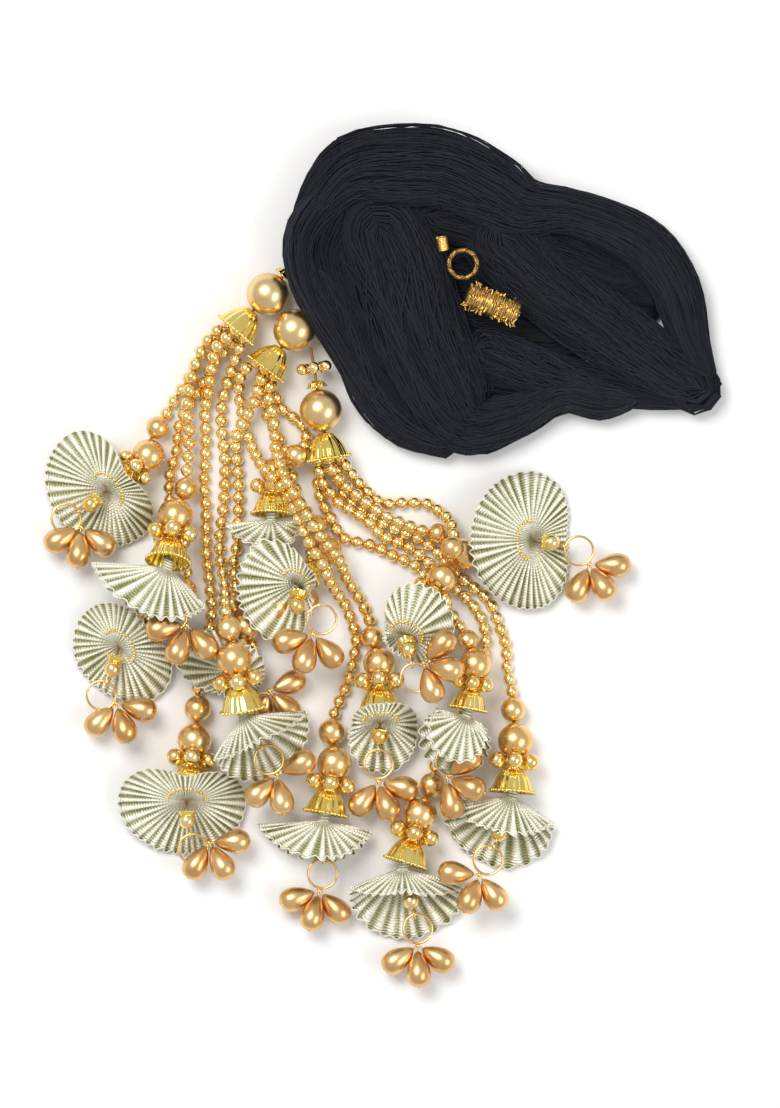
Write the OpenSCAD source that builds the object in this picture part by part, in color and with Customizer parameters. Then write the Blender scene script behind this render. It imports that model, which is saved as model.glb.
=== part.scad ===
/* [Beads] */
// Diameter of the small gold beads
small_d = 3.9; // [3.4:0.1:4]
// Distance from one small bead to the next
bead_pitch = 4.15; // [4.1:0.05:4.6]
// Diameter of the thread that the beads are strung on
thread_d = 1; // [0.6:0.1:1.4]
// Diameter of the large champagne-gold head beads
head_bead_d = 14.2; // [12:0.2:14.6]
// Diameter of a bead in the ring of five under each large bead
ring_bead_d = 5.5; // [4.5:0.1:5.8]
// Radius of that ring of five beads
bead_ring_r = 6; // [5.6:0.1:6.4]
// Diameter of the small bead inside each fan
inner_bead_d = 5.6; // [4:0.2:6]

/* [Bell caps] */
// Radius of a bell cap at its mouth
cap_r = 7; // [6:0.1:7.2]
// Length of a bell cap from its tip to its mouth
cap_l = 8.6; // [7:0.1:9]
// Thickness of the cap's metal
cap_wall = 0.8; // [0.6:0.1:1]
// Thickness of the milled rim round the mouth
rim_d = 1.4; // [1:0.1:1.6]

/* [Fans] */
// Number of pleats in one fan
pleats = 22; // [16:1:24]
// Thickness of the pleated tissue
tissue_t = 1; // [1:0.1:1.4]
// Height of a pleat at the fan's outer edge
pleat_h = 1.1; // [0.6:0.1:1.4]
// Radius of the gathered edge round the thread
gather_r = 3.2; // [2.8:0.1:3.4]
// Distance from the gathered edge to the bend where the fan opens out
knee_r = 6; // [4:0.5:7]

/* [Drops] */
// Length of a teardrop
drop_l = 11.6; // [10:0.2:11.8]
// Largest diameter of a teardrop
drop_d = 8.2; // [7:0.2:8.4]
// Distance from the drops' common pin to the middle of a drop
drop_reach = 7.9; // [7.7:0.1:8.1]
// Radius of a jump ring to the middle of its wire
jump_r = 4.8; // [4.4:0.1:5]
// Diameter of the jump ring's wire
wire_d = 0.8; // [0.6:0.1:0.9]

/* [Hank] */
// Height of the hank's flat underside above the surface it lies on
hank_lift = 0; // [0:0.1:1]
// Share of a bundle's width that lies flat on the surface
flat_share = 0.7; // [0.5:0.05:0.8]

/* [Hidden] */
$fn = 32;
tassels = 15;

thread_r = thread_d / 2;
small_r = small_d / 2;
wire_r = wire_d / 2;
eye_r = 1.4;
drop_r = drop_d / 2;

// Head beads: place of the bead, azimuth of the line from the bead to its cap, beads on the neck
heads = [
  [[-38.8, 85.9, 8], -131, false],
  [[-29.9, 73.9, 8], -127, false],
  [[-21.2, 47.2, 8], -81, true]
];
neck_clear = 0.5;
slot_r = 3.8;

// One row for each tassel:
// head, angle of its slot in the head cap's mouth, the chain's route
routes = [
  [0, -126, [[-60.5, 67, 2.6], [-65.8, 56.8, 2.2], [-69, 52.4, 2.2], [-72.6, 46.4, 2.4]]],
  [0, 162, [[-58, 71.5, 8], [-62.5, 64, 6.8], [-64.8, 55, 6.6], [-65.8, 47, 6.6], [-64.8, 38.8, 6.6],
    [-65.8, 27, 6.8]]],
  [0, -54, [[-56, 64.2, 3.2], [-58.5, 59.5, 2.2], [-61.5, 54.5, 2.2], [-64.8, 49.8, 2.2], [-68.2, 42.5, 2.2],
    [-69.2, 33.5, 2.2], [-71.5, 26, 2.2], [-71.5, 18.5, 2.2], [-70.8, 10.8, 2.2], [-68.2, 2.5, 2.2],
    [-66, -6, 2.4]]],
  [0, 90, [[-55.2, 68.8, 10.4], [-56.8, 65.5, 9], [-58.2, 56.5, 6.6], [-59.8, 47.5, 2.6], [-59.5, 39.2, 2.2],
    [-59.8, 30.8, 2.2], [-60.2, 22.5, 2.2], [-59.5, 14.5, 2.2], [-59.5, 1.5, 2.2], [-58.6, -7.5, 2.2],
    [-57.6, -20.2, 2.2], [-60, -33, 2.2], [-62, -43, 2.6]]],
  [0, 18, [[-48.4, 67.5, 7.8], [-50.5, 61.5, 5], [-53.2, 54.2, 2.4], [-54.4, 47.2, 2.2], [-54, 39.2, 2.2],
    [-53.2, 31.5, 2.2], [-53.2, 23.5, 2.2], [-53.8, 13.8, 2.2], [-54.8, 5.5, 2.2], [-54.6, -2.5, 2.6],
    [-53.2, -10.5, 6.5], [-53, -18, 14.4]]],
  [1, -54, [[-37, 54, 3.4], [-34.6, 48.8, 2.2], [-32, 45.4, 2.2], [-28.8, 44.8, 2.2], [-27, 40.4, 2.2],
    [-25.8, 37, 3.4]]],
  [1, -126, [[-41, 56.5, 3], [-40.4, 51, 2.2], [-38.8, 45, 2.2], [-35.6, 39, 2.2], [-32.4, 32, 2.2],
    [-30.4, 24, 2.2], [-28, 16, 2.2], [-24.8, 12.4, 2.6]]],
  [2, 18, [[-12.8, 28.8, 7], [-10, 25, 4], [-7.6, 22.2, 2.4], [-4.8, 19.4, 2.2], [-1.5, 16.8, 2.2],
    [2.2, 16.2, 2.2], [6.5, 16.6, 2.2], [14.5, 16.2, 2.2], [17.8, 14, 3.4], [21, 11.4, 5.6], [23, 7, 9.8]]],
  [1, 18, [[-38.2, 55.5, 8], [-38.6, 51, 6.8], [-37.2, 46, 6.6], [-36.4, 40, 6.6], [-36.2, 35, 8.6],
    [-34.6, 28.8, 15.4], [-32, 22.6, 20.8], [-27.6, 15.8, 20.8], [-23, 8.2, 20.4], [-17.8, 1.2, 16.4],
    [-14.8, -3, 11.4], [-12.4, -9, 5], [-8.8, -14.5, 2.3], [-5, -22.5, 2.5]]],
  [2, -126, [[-22, 26, 3.4], [-22.2, 20.8, 2.2], [-20.5, 16.5, 2.2], [-19, 13.2, 2.2], [-17, 10, 2.2],
    [-15.6, 7, 2.2], [-13, 4.4, 2.2], [-9.2, 3.4, 2.2], [-4.5, 2.4, 2.2], [-0.9, 0.8, 2.2], [2.9, -1.2, 2.2],
    [6.8, -2.8, 2.2], [10, -4.6, 2.2], [12.8, -7.6, 2.2], [17, -12.8, 2.2], [21.2, -18.8, 2.2],
    [24.6, -24, 3.4]]],
  [2, 90, [[-17.2, 27, 10.4], [-13.4, 22.4, 7.4], [-7.6, 17.8, 6], [-3.6, 14.8, 5.8], [0, 12.4, 5.8],
    [4.2, 10.4, 5.8], [8.8, 8.6, 5.8], [12.8, 7.2, 5]]],
  [1, 162, [[-47.2, 60, 8], [-48.4, 54.5, 4], [-47.5, 47.2, 2.2], [-46.6, 42.6, 2.2], [-44.2, 35.5, 4.8],
    [-40.8, 29, 11.6], [-36.8, 24.4, 17.2], [-33, 20.6, 16.4], [-31, 16.8, 16.4], [-27.8, 8.8, 17],
    [-23.8, 1.2, 18.2], [-21.2, -2.8, 17.6], [-19.2, -7.2, 15], [-17.4, -10.8, 10.5], [-15.2, -14.4, 5.8],
    [-12.8, -18.4, 2.6], [-9.8, -27.2, 2.2], [-9.8, -31.8, 2.2], [-11.5, -40.5, 2.2], [-12.8, -44.5, 2.2],
    [-16.8, -53.8, 2.2]]],
  [2, 162, [[-21.6, 26.8, 8], [-20.4, 22.8, 6.6], [-17.6, 19.4, 6], [-15.2, 16.4, 5.8], [-11.2, 14, 5.8],
    [-7.5, 11.6, 5.8], [-3.8, 8.6, 5], [-1.4, 5.8, 3.2], [2.2, 4, 2.2], [6.5, 2.6, 2.2], [10.2, 0.2, 2.2],
    [13.4, -2.2, 2.2], [16.2, -5.4, 2.2], [20.8, -10, 2.2], [26, -14, 2.2], [28.6, -16.8, 2.2],
    [31.2, -20.5, 2.2], [33.2, -25, 2.2], [33.6, -33, 2.2], [31.4, -41, 2.2], [27, -50, 2.2], [22, -58, 2.2],
    [18.4, -66, 2.2], [16.6, -72, 2.6]]],
  [2, -54, [[-15.6, 26, 3.4], [-14, 19.8, 2.2], [-10.8, 16.4, 2.2], [-7.2, 13.6, 2.2], [-2.8, 11, 2.2],
    [1.5, 8.8, 2.2], [5.8, 6.8, 2.2], [10.6, 5, 2.2], [14, 2.8, 2.2], [17.2, 0.6, 2.2], [20.6, -3.8, 2.2],
    [26.4, -9, 2.2], [32.5, -13.8, 2.2], [35.5, -17.4, 2.2], [38.5, -25.2, 2.2], [40.4, -31, 2.2],
    [40.8, -38.5, 2.2], [42.4, -46, 2.6]]],
  [1, 90, [[-41.6, 56, 9.6], [-43.4, 50, 7.4], [-46.4, 44.4, 6.8], [-49.4, 38.8, 5], [-49.2, 33, 2.4],
    [-48.6, 24, 2.2], [-48.6, 12, 2.2], [-49, 3.2, 2.2], [-50.2, -4.4, 2.2], [-49.6, -11.4, 2.4]]]
];

// One row for each tassel's end: medium bead, its diameter, large bead, its diameter,
// azimuth and tilt of the line on from there, size of its bead ring and cap, length of the fan's neck
tails = [
  [[-75.5, 41.5, 4.6], 7.6, [-78.5, 32.2, 6.2], 11, -139.6, 10, 0.85, 3],
  [[-66.2, 21.2, 7.2], 7.6, [-69.5, 12.2, 10.8], 11.8, -98, 24, 1, 2.8],
  [[-66.2, -12.5, 4.2], 7.4, [-74, -18.5, 5.8], 10.6, -138.6, 8, 0.8, 5],
  [[-62.2, -52, 5], 9, [-63.2, -62.4, 7], 11.4, -97, 12, 1, 3.5],
  [[-51.8, -25.2, 18.8], 8.6, [-49.8, -35.4, 20.4], 11.8, -80, -6, 1, 2.8],
  [[-29.5, 32.2, 9.6], 7.6, [-37, 27, 6.2], 9, -92, 10, 0.9, 2.4],
  [[-22.6, 9, 3.8], 7, [-19, 0.8, 5], 9.6, -129, 21.5, 0.65, 3.8],
  [[22.4, 1.6, 14.6], 7.6, [19.2, -8.2, 11.2], 10, -123, -3, 0.85, 8.5],
  [[-4.2, -28.2, 4.2], 7.6, [-1.8, -36.8, 6.6], 10.6, -89, 12, 1, 3.5],
  [[27.6, -29.2, 6.4], 7.2, [30.2, -37.2, 10.4], 11, -100, 3, 0.85, 2.8],
  [[17.8, 6.4, 3.8], 6.6, [26.4, -0.4, 6.1], 10.6, 11.4, 5, 0.85, 8],
  [[-17.5, -59.7, 4.8], 9, [-16.7, -70.1, 7.4], 11.6, -100, 4, 1, 2.8],
  [[15.8, -77.4, 4.6], 8.6, [11.8, -87, 7.4], 11.6, -107, 5, 1, 2.6],
  [[42.8, -52.4, 4.6], 8.4, [43.5, -62.6, 7.4], 11.8, -94, 5, 1, 2.6],
  [[-50.8, -17, 4], 7.2, [-46.4, -25, 5.4], 9.6, -100, 0, 0.65, 3.5]
];

// One row for each fan: azimuth it opens towards, spread to each side (180 is opened right back),
// lengths ahead, to the left, at the top and to the right, heights of the bend below and above,
// heights of the edge ahead, left, at the top and right
fans = [
  [-140, 180, [19, 17, 8, 21], [2, 17.6], [1.8, 3, 15, 4]],
  [-115, 68, [17, 16, 16, 23], [14.2, 26.6], [14.8, 17, 26, 17]],
  [-138, 180, [15, 19, 11.5, 14], [2, 16.4], [1.8, 3, 15.4, 4]],
  [-90, 180, [18, 17.5, 8, 21], [2.4, 20.6], [1.8, 3.4, 19, 6]],
  [-60, 62, [22, 19, 9, 15], [11.5, 25], [7, 10, 23, 17]],
  [-90, 85, [8.5, 8.2, 9, 13], [3.4, 14], [4.5, 7, 12.2, 7.4]],
  [-125, 180, [21, 2, 6, 18], [9.6, 18.6], [10.4, 11.4, 16, 17]],
  [-110, 180, [6.5, 14, 17.5, 5], [5.6, 19.5], [9, 8, 21, 10.5]],
  [-90, 180, [17, 10.5, 6, 7.5], [5.6, 20], [5.2, 5.6, 19, 11]],
  [-110, 80, [19.5, 1.4, 15, 8], [6.4, 21], [7, 15, 20.5, 14]],
  [0, 180, [12, 21, 20, 21], [2, 17], [1.8, 4, 15.6, 4]],
  [-95, 80, [13.5, 14, 12, 20], [2.2, 15], [1.7, 6, 14, 6]],
  [-88, 72, [23, 20, 7, 16.5], [2.2, 15.4], [1.7, 5, 15, 15.5]],
  [-105, 72, [23, 14, 11, 21], [2.2, 15.4], [1.7, 6, 15, 6]],
  [-115, 180, [8, 7, 10, 19], [2.5, 13.4], [5.5, 4.5, 13, 7]]
];

// One row for each set of drops: azimuth from the fan's gathering to its inner bead, distance between them,
// height of the bead, azimuth on to the ring, height of the ring,
// azimuth round the ring to the drops' pin, azimuths of the three drops, how far they dip
rings = [
  [-140, 7.4, 10, -150, 8.8, -30, [-150, -95, -38], 6],
  [-95, 6.4, 20, -76, 20.8, -30, [-172, -110, -49], 0],
  [-106, 8, 9.6, -113, 8.8, -29, [-133, -72, -13], 6],
  [-90, 7, 12, -78, 9.8, 20, [-120, -60, 2], 6],
  [-58, 6.6, 17.6, -62, 13.6, -60, [-135, -80, 25], 0],
  [-90, 6, 8.6, -60, 4.5, -95, [-151, -96, -40], 1],
  [-97, 7, 15.6, -29, 16, -121, [-165, -108, -50], 2],
  [-77, 5, 15.8, -77, 18, 60, [45, -14, -72], 0],
  [-92, 4.6, 12.6, -93, 10, -90, [-127, -70, -15], 4],
  [-108, 6, 12.8, -112, 13.8, -100, [40, -22, -80], 0],
  [-6, 7, 8.6, -17, 7.8, -52, [-114, -58, -2], 4],
  [-92, 8, 7.6, -92, 6.4, -100, [-162, -105, -48], 3],
  [-76, 10.6, 9, -76, 8, -90, [-145, -88, -31], 4],
  [-110, 12, 9.6, -113, 12, -120, [176, -112, -55], 0],
  [-80, 6.6, 9.8, -30, 9.2, 76, [-110, -45, 20], 27]
];

function unit(v) = v / norm(v);
function heading(azimuth, tilt = 0) = [cos(tilt) * cos(azimuth), cos(tilt) * sin(azimuth), sin(tilt)];
function mix(a, b, share) = a + (b - a) * share;

// Smooth line through hand-chosen points, and the place at a distance along it
line_steps = 6;
function through(a, b, c, d, t) =
  0.5 * (2 * b + (c - a) * t + (2 * a - 5 * b + 4 * c - d) * t * t + (3 * b - a - 3 * c + d) * t * t * t);
function smooth_line(p) = [
  for (i = [0:len(p) - 2])
    for (s = [0:line_steps - 1])
      through(p[max(i - 1, 0)], p[i], p[i + 1], p[min(i + 2, len(p) - 1)], s / line_steps),
  p[len(p) - 1]
];
function run_lengths(p) = [
  for (i = 0, run = 0; i < len(p); run = run + (i + 1 < len(p) ? norm(p[i + 1] - p[i]) : 0), i = i + 1) run
];
function along(p, runs, s) = [for (k = [0:2]) lookup(s, [for (i = [0:len(p) - 1]) [runs[i], p[i][k]]])];

module rod(a, b, r) {
  way = b - a;
  translate(a)
    rotate([0, acos(way[2] / norm(way)), atan2(way[1], way[0])])
      cylinder(h = norm(way), r = r);
}

// Turns +Z to a heading
module facing(place, azimuth, tilt) {
  translate(place) rotate([0, 90 - tilt, azimuth]) children();
}

// Places on a head's line, and a tassel's first points inside the head's cap
cap_gap = 0.4;
function head_place(head, distance) = heads[head][0] + heading(heads[head][1]) * distance;
head_apex = head_bead_d / 2 + cap_gap;
head_mouth = head_apex + cap_l;
function slot_place(row, distance, radius) =
  head_place(row[0], distance)
  + heading(heads[row[0]][1] + 90) * radius * cos(row[1])
  + [0, 0, radius * sin(row[1])];
function tassel_start(row) = [slot_place(row, head_mouth - 4, 1.9), slot_place(row, head_mouth, slot_r)];
bare_start = 4.4;
dome_reach = 3.8;

// Distances along a tassel's tail from the middle of its large bead
function ring_distance(t) = t[3] / 2 + 0.9 * t[6];
function apex_distance(t) = t[3] / 2 + 2.4 * t[6];
function mouth_distance(t) = apex_distance(t) + cap_l * t[6];
function gather_distance(t) = mouth_distance(t) + t[7];
function tail_place(t, distance) = t[2] + heading(t[4], t[5]) * distance;
function gather_place(i) = tail_place(tails[i], gather_distance(tails[i]));

// Places of the inner bead, the eye, the ring and the drops' pin
function bead_place(i) =
  let (g = gather_place(i), r = rings[i])
    [g[0] + r[1] * cos(r[0]), g[1] + r[1] * sin(r[0]), r[2]];
function eye_place(i) =
  let (b = bead_place(i), r = rings[i], out = inner_bead_d / 2 + eye_r + 0.5)
    [b[0] + out * cos(r[3]), b[1] + out * sin(r[3]), r[4]];
function jump_place(i) = eye_place(i) + heading(rings[i][3]) * jump_r;
pin_r = 0.9;
function pin_place(i) = jump_place(i) + heading(rings[i][5]) * (jump_r + pin_r);

// Bell cap: open end up, tip at the origin, size 1 is cap_r by cap_l
bell_outline = [[0, 0], [0.26, 0], [0.46, 0.13], [0.7, 0.36], [0.88, 0.66], [1, 1]];
module bell_cap(size, tip_hole = 0) {
  r = cap_r * size;
  l = cap_l * size;
  outside = [for (p = bell_outline) [p[0] * r, p[1] * l]];
  inside = [for (i = [len(outside) - 1:-1:2]) outside[i] - [cap_wall * 1.15, 0]];
  difference() {
    union() {
      rotate_extrude() polygon(concat(outside, inside, [[0, outside[2][1] * 0.9]]));
      translate([0, 0, l]) rotate_extrude() translate([r - cap_wall / 2, 0]) circle(d = rim_d * size, $fn = 24);
    }
    if (tip_hole > 0) translate([0, 0, -1]) cylinder(h = l + 2, r = tip_hole);
  }
}

// Shallow dome cap with a rim, rim down at the origin
dome_outline = [[0, 0], [1.12, 0], [1.16, 0.25], [1, 0.45], [0.72, 0.8], [0.34, 0.97], [0, 1]];
module dome_cap(r, h) {
  rotate_extrude() polygon([for (p = dome_outline) [p[0] * r, p[1] * h]]);
}

// Thread from one ball to the next, ending a little inside each
bite = 0.5;
module link(a, a_r, b, b_r, r = thread_r) {
  way = unit(b - a);
  rod(a + way * (a_r - bite), b - way * (b_r - bite), r);
}

// Ring of five beads round a knot, each on its own short length of thread
hub_r = 1.4;
module bead_ring(size) {
  sphere(r = hub_r);
  for (k = [0:4]) {
    place = [bead_ring_r * size * cos(k * 72 + 180), bead_ring_r * size * sin(k * 72 + 180), 0];
    translate(place) sphere(d = ring_bead_d * size);
    link([0, 0, 0], hub_r, place, ring_bead_d * size / 2, thread_r * 0.7);
  }
}

// Neck: thread from the hank through the head bead into the cap, with its knot and dome cap
neck_l = 3.8;
ring_back = 7.2;
knot_r = 1.2;
neck_long = 14;
module neck(head) {
  bead_side = head_bead_d / 2;
  knot = head_place(head, head_mouth - 5.6);
  dome = head_place(head, -bead_side - neck_clear);
  color("goldenrod") {
    translate(knot) sphere(r = knot_r);
    facing(dome, heads[head][1] + 180, 0) dome_cap(3.2, 2.6);
    if (heads[head][2]) {
      hub = head_place(head, -bead_side - ring_back);
      facing(hub, heads[head][1], 0) bead_ring(0.7);
      link(hub, hub_r, knot, knot_r);
      rod(head_place(head, -bead_side - neck_long), head_place(head, -bead_side - ring_back - hub_r + bite), thread_r);
    } else {
      rod(head_place(head, -bead_side - neck_l), knot - heading(heads[head][1]) * (knot_r - bite), thread_r);
    }
  }
}

module head_bead(head) {
  color("burlywood")
    facing(heads[head][0], heads[head][1], 0)
      difference() {
        sphere(d = head_bead_d, $fn = 48);
        translate([0, 0, -head_bead_d]) cylinder(h = 2 * head_bead_d, r = thread_r + 0.4);
      }
}

module head_cap(head) {
  color("gold") facing(head_place(head, head_apex), heads[head][1], 0) bell_cap(1, thread_r + 0.4);
}

// Strand: chain of small beads, medium and large bead, bead ring, bell cap, inner cap, inner bead and eye
joint_r = 1;
eye_wire_r = 0.36;
eye_pin_r = 0.28;
// The eighth chain runs along X, so its beads are turned: no thread leaves through the seam of a sphere
crossing_chain = 7;
bead_turn = 50;
module strand(i) {
  row = routes[i];
  t = tails[i];
  line = smooth_line(concat(tassel_start(row), row[2], [t[0]]));
  runs = run_lengths(line);
  chain = runs[len(runs) - 1] - t[1] / 2 - small_r - 0.3 - bare_start;
  beads = floor(chain / bead_pitch);
  pitch = chain / beads;
  spots = [for (b = [0:beads]) along(line, runs, bare_start + b * pitch)];
  hub = tail_place(t, ring_distance(t));
  tip = tail_place(t, apex_distance(t));
  gather = gather_place(i);
  bead = bead_place(i);
  eye = eye_place(i);
  inner = unit(bead - gather);
  way = heading(t[4], t[5]);
  color("gold") {
    for (spot = spots) translate(spot) rotate([0, 0, i == crossing_chain ? bead_turn : 0]) sphere(r = small_r, $fn = 20);
    translate(t[0]) sphere(d = t[1]);
    translate(t[2]) sphere(d = t[3]);
    facing(hub, t[4], t[5]) bead_ring(t[6]);
    facing(tip, t[4], t[5]) bell_cap(t[6]);
    facing(gather + inner * dome_reach, rings[i][0], asin(inner[2])) dome_cap(3, 2.2);
    translate(bead) sphere(d = inner_bead_d);
    translate(eye)
      rotate([90, 0, rings[i][3]])
        rotate_extrude() translate([eye_r, 0]) circle(r = eye_wire_r, $fn = 16);
  }
  color("goldenrod") {
    translate(tassel_start(row)[0]) sphere(r = joint_r);
    link(tassel_start(row)[0], joint_r, spots[0], small_r);
    for (b = [1:beads]) link(spots[b - 1], small_r, spots[b], small_r);
    link(spots[beads], small_r, t[0], t[1] / 2);
    link(t[0], t[1] / 2, t[2], t[3] / 2);
    rod(hub + way * (hub_r - bite), tip + way * bite, thread_r);
    rod(tip + way * bite, gather - way * (joint_r - bite), thread_r);
    translate(gather) sphere(r = joint_r);
    link(gather, joint_r, bead, inner_bead_d / 2);
    rod(bead + heading(rings[i][3]) * (inner_bead_d / 2 - bite), eye - heading(rings[i][3]) * eye_r, eye_pin_r);
  }
}

// Fan: pleated tissue gathered round the thread. Each pleat edge runs out from the gathered edge,
// bends at the knee and ends at the scalloped outer edge.
folds = 2 * pleats;
floor_z = 1.3;
function blend4(four, phi) =
  (cos(phi) > 0 ? four[1] : four[3]) * pow(cos(phi), 2)
  + (sin(phi) > 0 ? four[2] : four[0]) * pow(sin(phi), 2);
function fan_plan(f, phi, r) =
  let (turn = f[1] >= 180 ? phi + 90 : f[1] * cos(phi))
    heading(f[0] + 90) * gather_r * cos(phi) + heading(f[0] + turn) * r;
function fan_z(f, g, phi, row) =
  row == 0 ? g[2] + gather_r * sin(phi)
  : row == 1 ? mix(f[3][0], f[3][1], (1 + sin(phi)) / 2)
  : blend4(f[4], phi);
function fan_mid(f, g, fold, row) =
  let (
    phi = 360 * fold / folds - 90,
    reach = blend4(f[2], phi),
    r = row == 0 ? 0 : row == 1 ? min(knee_r, reach / 2) : reach,
    plan = fan_plan(f, phi, r)
  )
    [g[0] + plan[0], g[1] + plan[1], max(floor_z, fan_z(f, g, phi, row))];
function fan_normal(f, g, fold, row) =
  unit(cross(
    fan_mid(f, g, fold + 1, row) - fan_mid(f, g, fold - 1, row),
    fan_mid(f, g, fold, min(row + 1, 2)) - fan_mid(f, g, fold, max(row - 1, 0))
  ));
fold_heights = [0.2, 0.5, 1];
function fan_points(f, g, side) = [
  for (row = [0:2])
    for (fold = [0:folds - 1])
      let (
        wave = (fold % 2 == 0 ? 0.5 : -0.5) * pleat_h * fold_heights[row],
        p = fan_mid(f, g, fold, row) + fan_normal(f, g, fold, row) * (wave + side * tissue_t / 2)
      )
        [p[0], p[1], max(p[2], side * 0.4 + 0.8)]
];
function ring_faces(start, other, flip) = [
  for (k = [0:folds - 1])
    let (n = (k + 1) % folds, a = start + k, b = start + n, c = other + n, d = other + k)
      each flip ? [[a, b, c], [a, c, d]] : [[c, b, a], [d, c, a]]
];
module fan(i) {
  f = fans[i];
  g = gather_place(i);
  wall = 3 * folds;
  points = concat(fan_points(f, g, 1), fan_points(f, g, -1));
  faces = concat(
    ring_faces(0, folds, false),
    ring_faces(folds, 2 * folds, false),
    ring_faces(wall, wall + folds, true),
    ring_faces(wall + folds, wall + 2 * folds, true),
    ring_faces(0, wall, true),
    ring_faces(2 * folds, wall + 2 * folds, false)
  );
  color("lightgoldenrodyellow") polyhedron(points, faces);
}

// Teardrop on its pin, along +Z: the pin starts at the origin, the drop is round at the far end
pin_wire_r = 0.25;
drop_outline = [[0.17, 0], [0.38, 0.12], [0.67, 0.3], [0.92, 0.5], [1, 0.64], [0.93, 0.8], [0.66, 0.93], [0.3, 0.99],
  [0, 1]];
module teardrop(pin) {
  stem = [[0, 0], [pin_wire_r, 0], [pin_wire_r, pin]];
  rotate_extrude() polygon(concat(stem, [for (p = drop_outline) [p[0] * drop_r, pin + p[1] * drop_l]]));
}

// Drops: jump ring, and three teardrops on short pins from one ball beside it
pin_start = 0.65;
module drops(i) {
  r = rings[i];
  pin = pin_place(i);
  stem = drop_reach - drop_l / 2 - pin_start;
  color("tan") {
    translate(jump_place(i)) rotate_extrude() translate([jump_r, 0]) circle(r = wire_r, $fn = 16);
    translate(pin) sphere(r = pin_r);
    for (azimuth = r[6])
      facing(pin + heading(azimuth, -r[7]) * pin_start, azimuth, -r[7]) teardrop(stem);
  }
}

// Hank: bundles of thread, each a row of rounded sections: x, y, middle height, half width, half height
bundles = [
  [[-28, 101, 8, 5, 6], [-22, 115, 9, 8, 7], [-11, 126.5, 10, 12, 8], [5, 128, 11, 14, 9], [20, 127, 11, 14, 9],
    [35, 120, 11, 13, 9], [46, 114, 11, 10.5, 8], [58.5, 113.5, 10, 8, 8], [72, 109.5, 9, 8.5, 7],
    [87, 101.5, 8, 9, 7], [97, 87.5, 7, 8.5, 6.5], [102, 70, 6, 6.5, 5.5], [108, 58.5, 5, 3, 4.5]],
  [[-1, 106, 8, 18, 7], [4, 94, 8.5, 18, 7.5], [8, 82, 9, 17, 8], [13.5, 67.5, 9, 16, 8], [22, 51, 8, 15, 7.5],
    [29, 42.5, 7, 10.5, 6.5], [45, 46, 6, 7.5, 5.5], [58.5, 52.5, 6, 6, 5.5], [72, 50.5, 5.5, 6.5, 5],
    [82, 50.5, 5, 3, 4.5]],
  [[-21, 93, 6.5, 6, 6], [-15.5, 83, 6.5, 6.5, 6], [-12.4, 73, 6.5, 6, 6], [-9, 63, 6.5, 6.5, 6],
    [-3, 51, 6, 7, 5.5], [7, 41, 6, 6, 5.5], [20, 36, 5, 4.5, 4.5]],
  [[40, 104, 8, 14, 7.5], [55, 89, 8, 13, 7.5], [72, 76, 7.5, 12.5, 7], [88, 64.5, 7, 11, 6.5],
    [101, 56.5, 6, 8, 5.5], [109, 56, 5, 3, 4.5]],
  [[34, 67, 6, 8, 5.5], [52, 59, 6, 8.5, 5.5], [68, 54, 5.5, 6, 5], [82, 52, 5, 3, 4.5]],
  [[6, 66, 3.4, 20, 3.4], [14, 92, 3.4, 24, 3.4], [34, 90, 3.4, 24, 3.4], [56, 86, 3.4, 24, 3.4],
    [78, 85, 3.4, 15, 3.4], [86, 86, 3, 9, 3]]
];
module hank_section(s) {
  translate([s[0], s[1], hank_lift + s[2]]) scale([s[3], s[3], s[4]]) sphere(r = 1, $fn = 16);
  translate([s[0], s[1], hank_lift]) cylinder(h = 1, r = s[3] * flat_share, $fn = 16);
}
module hank() {
  color("midnightblue")
    for (bundle = bundles)
      for (k = [0:len(bundle) - 2])
        hull() {
          hank_section(bundle[k]);
          hank_section(bundle[k + 1]);
        }
}

// Windings: a straight wound roll, and a small round loop of the same metallic thread
roll_from = [27, 85.5, 19.6];
roll_to = [44.5, 78.6, 18];
roll_r = 4.1;
loop_place = [26, 96.5, 18.6];
loop_r = 6;
loop_thread_r = 1.7;
module winding_1() {
  way = roll_to - roll_from;
  color("peru")
    translate(roll_from)
      rotate([0, acos(way[2] / norm(way)), atan2(way[1], way[0])])
        rotate_extrude()
          polygon([[0, 0], [roll_r * 0.8, 0], [roll_r, 1.5], [roll_r * 0.92, norm(way) / 2],
            [roll_r, norm(way) - 1.5], [roll_r * 0.8, norm(way)], [0, norm(way)]]);
}
module winding_2() {
  color("peru")
    translate(loop_place) rotate([8, -6, 0]) rotate_extrude() translate([loop_r, 0]) circle(r = loop_thread_r);
}

// Shifts the part so that its outline is centred on the origin
home = [0.8, 1.3, 0];
translate(home) {
  hank();
  winding_1();
  winding_2();
  for (head = [0:2]) {
    side = ["a", "b", "c"][head];
    neck(head);
    head_bead(head);
    head_cap(head);
  }
  for (i = [0:tassels - 1]) {
    strand(i);
    fan(i);
    drops(i);
  }
}
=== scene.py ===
import json
import math

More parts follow.
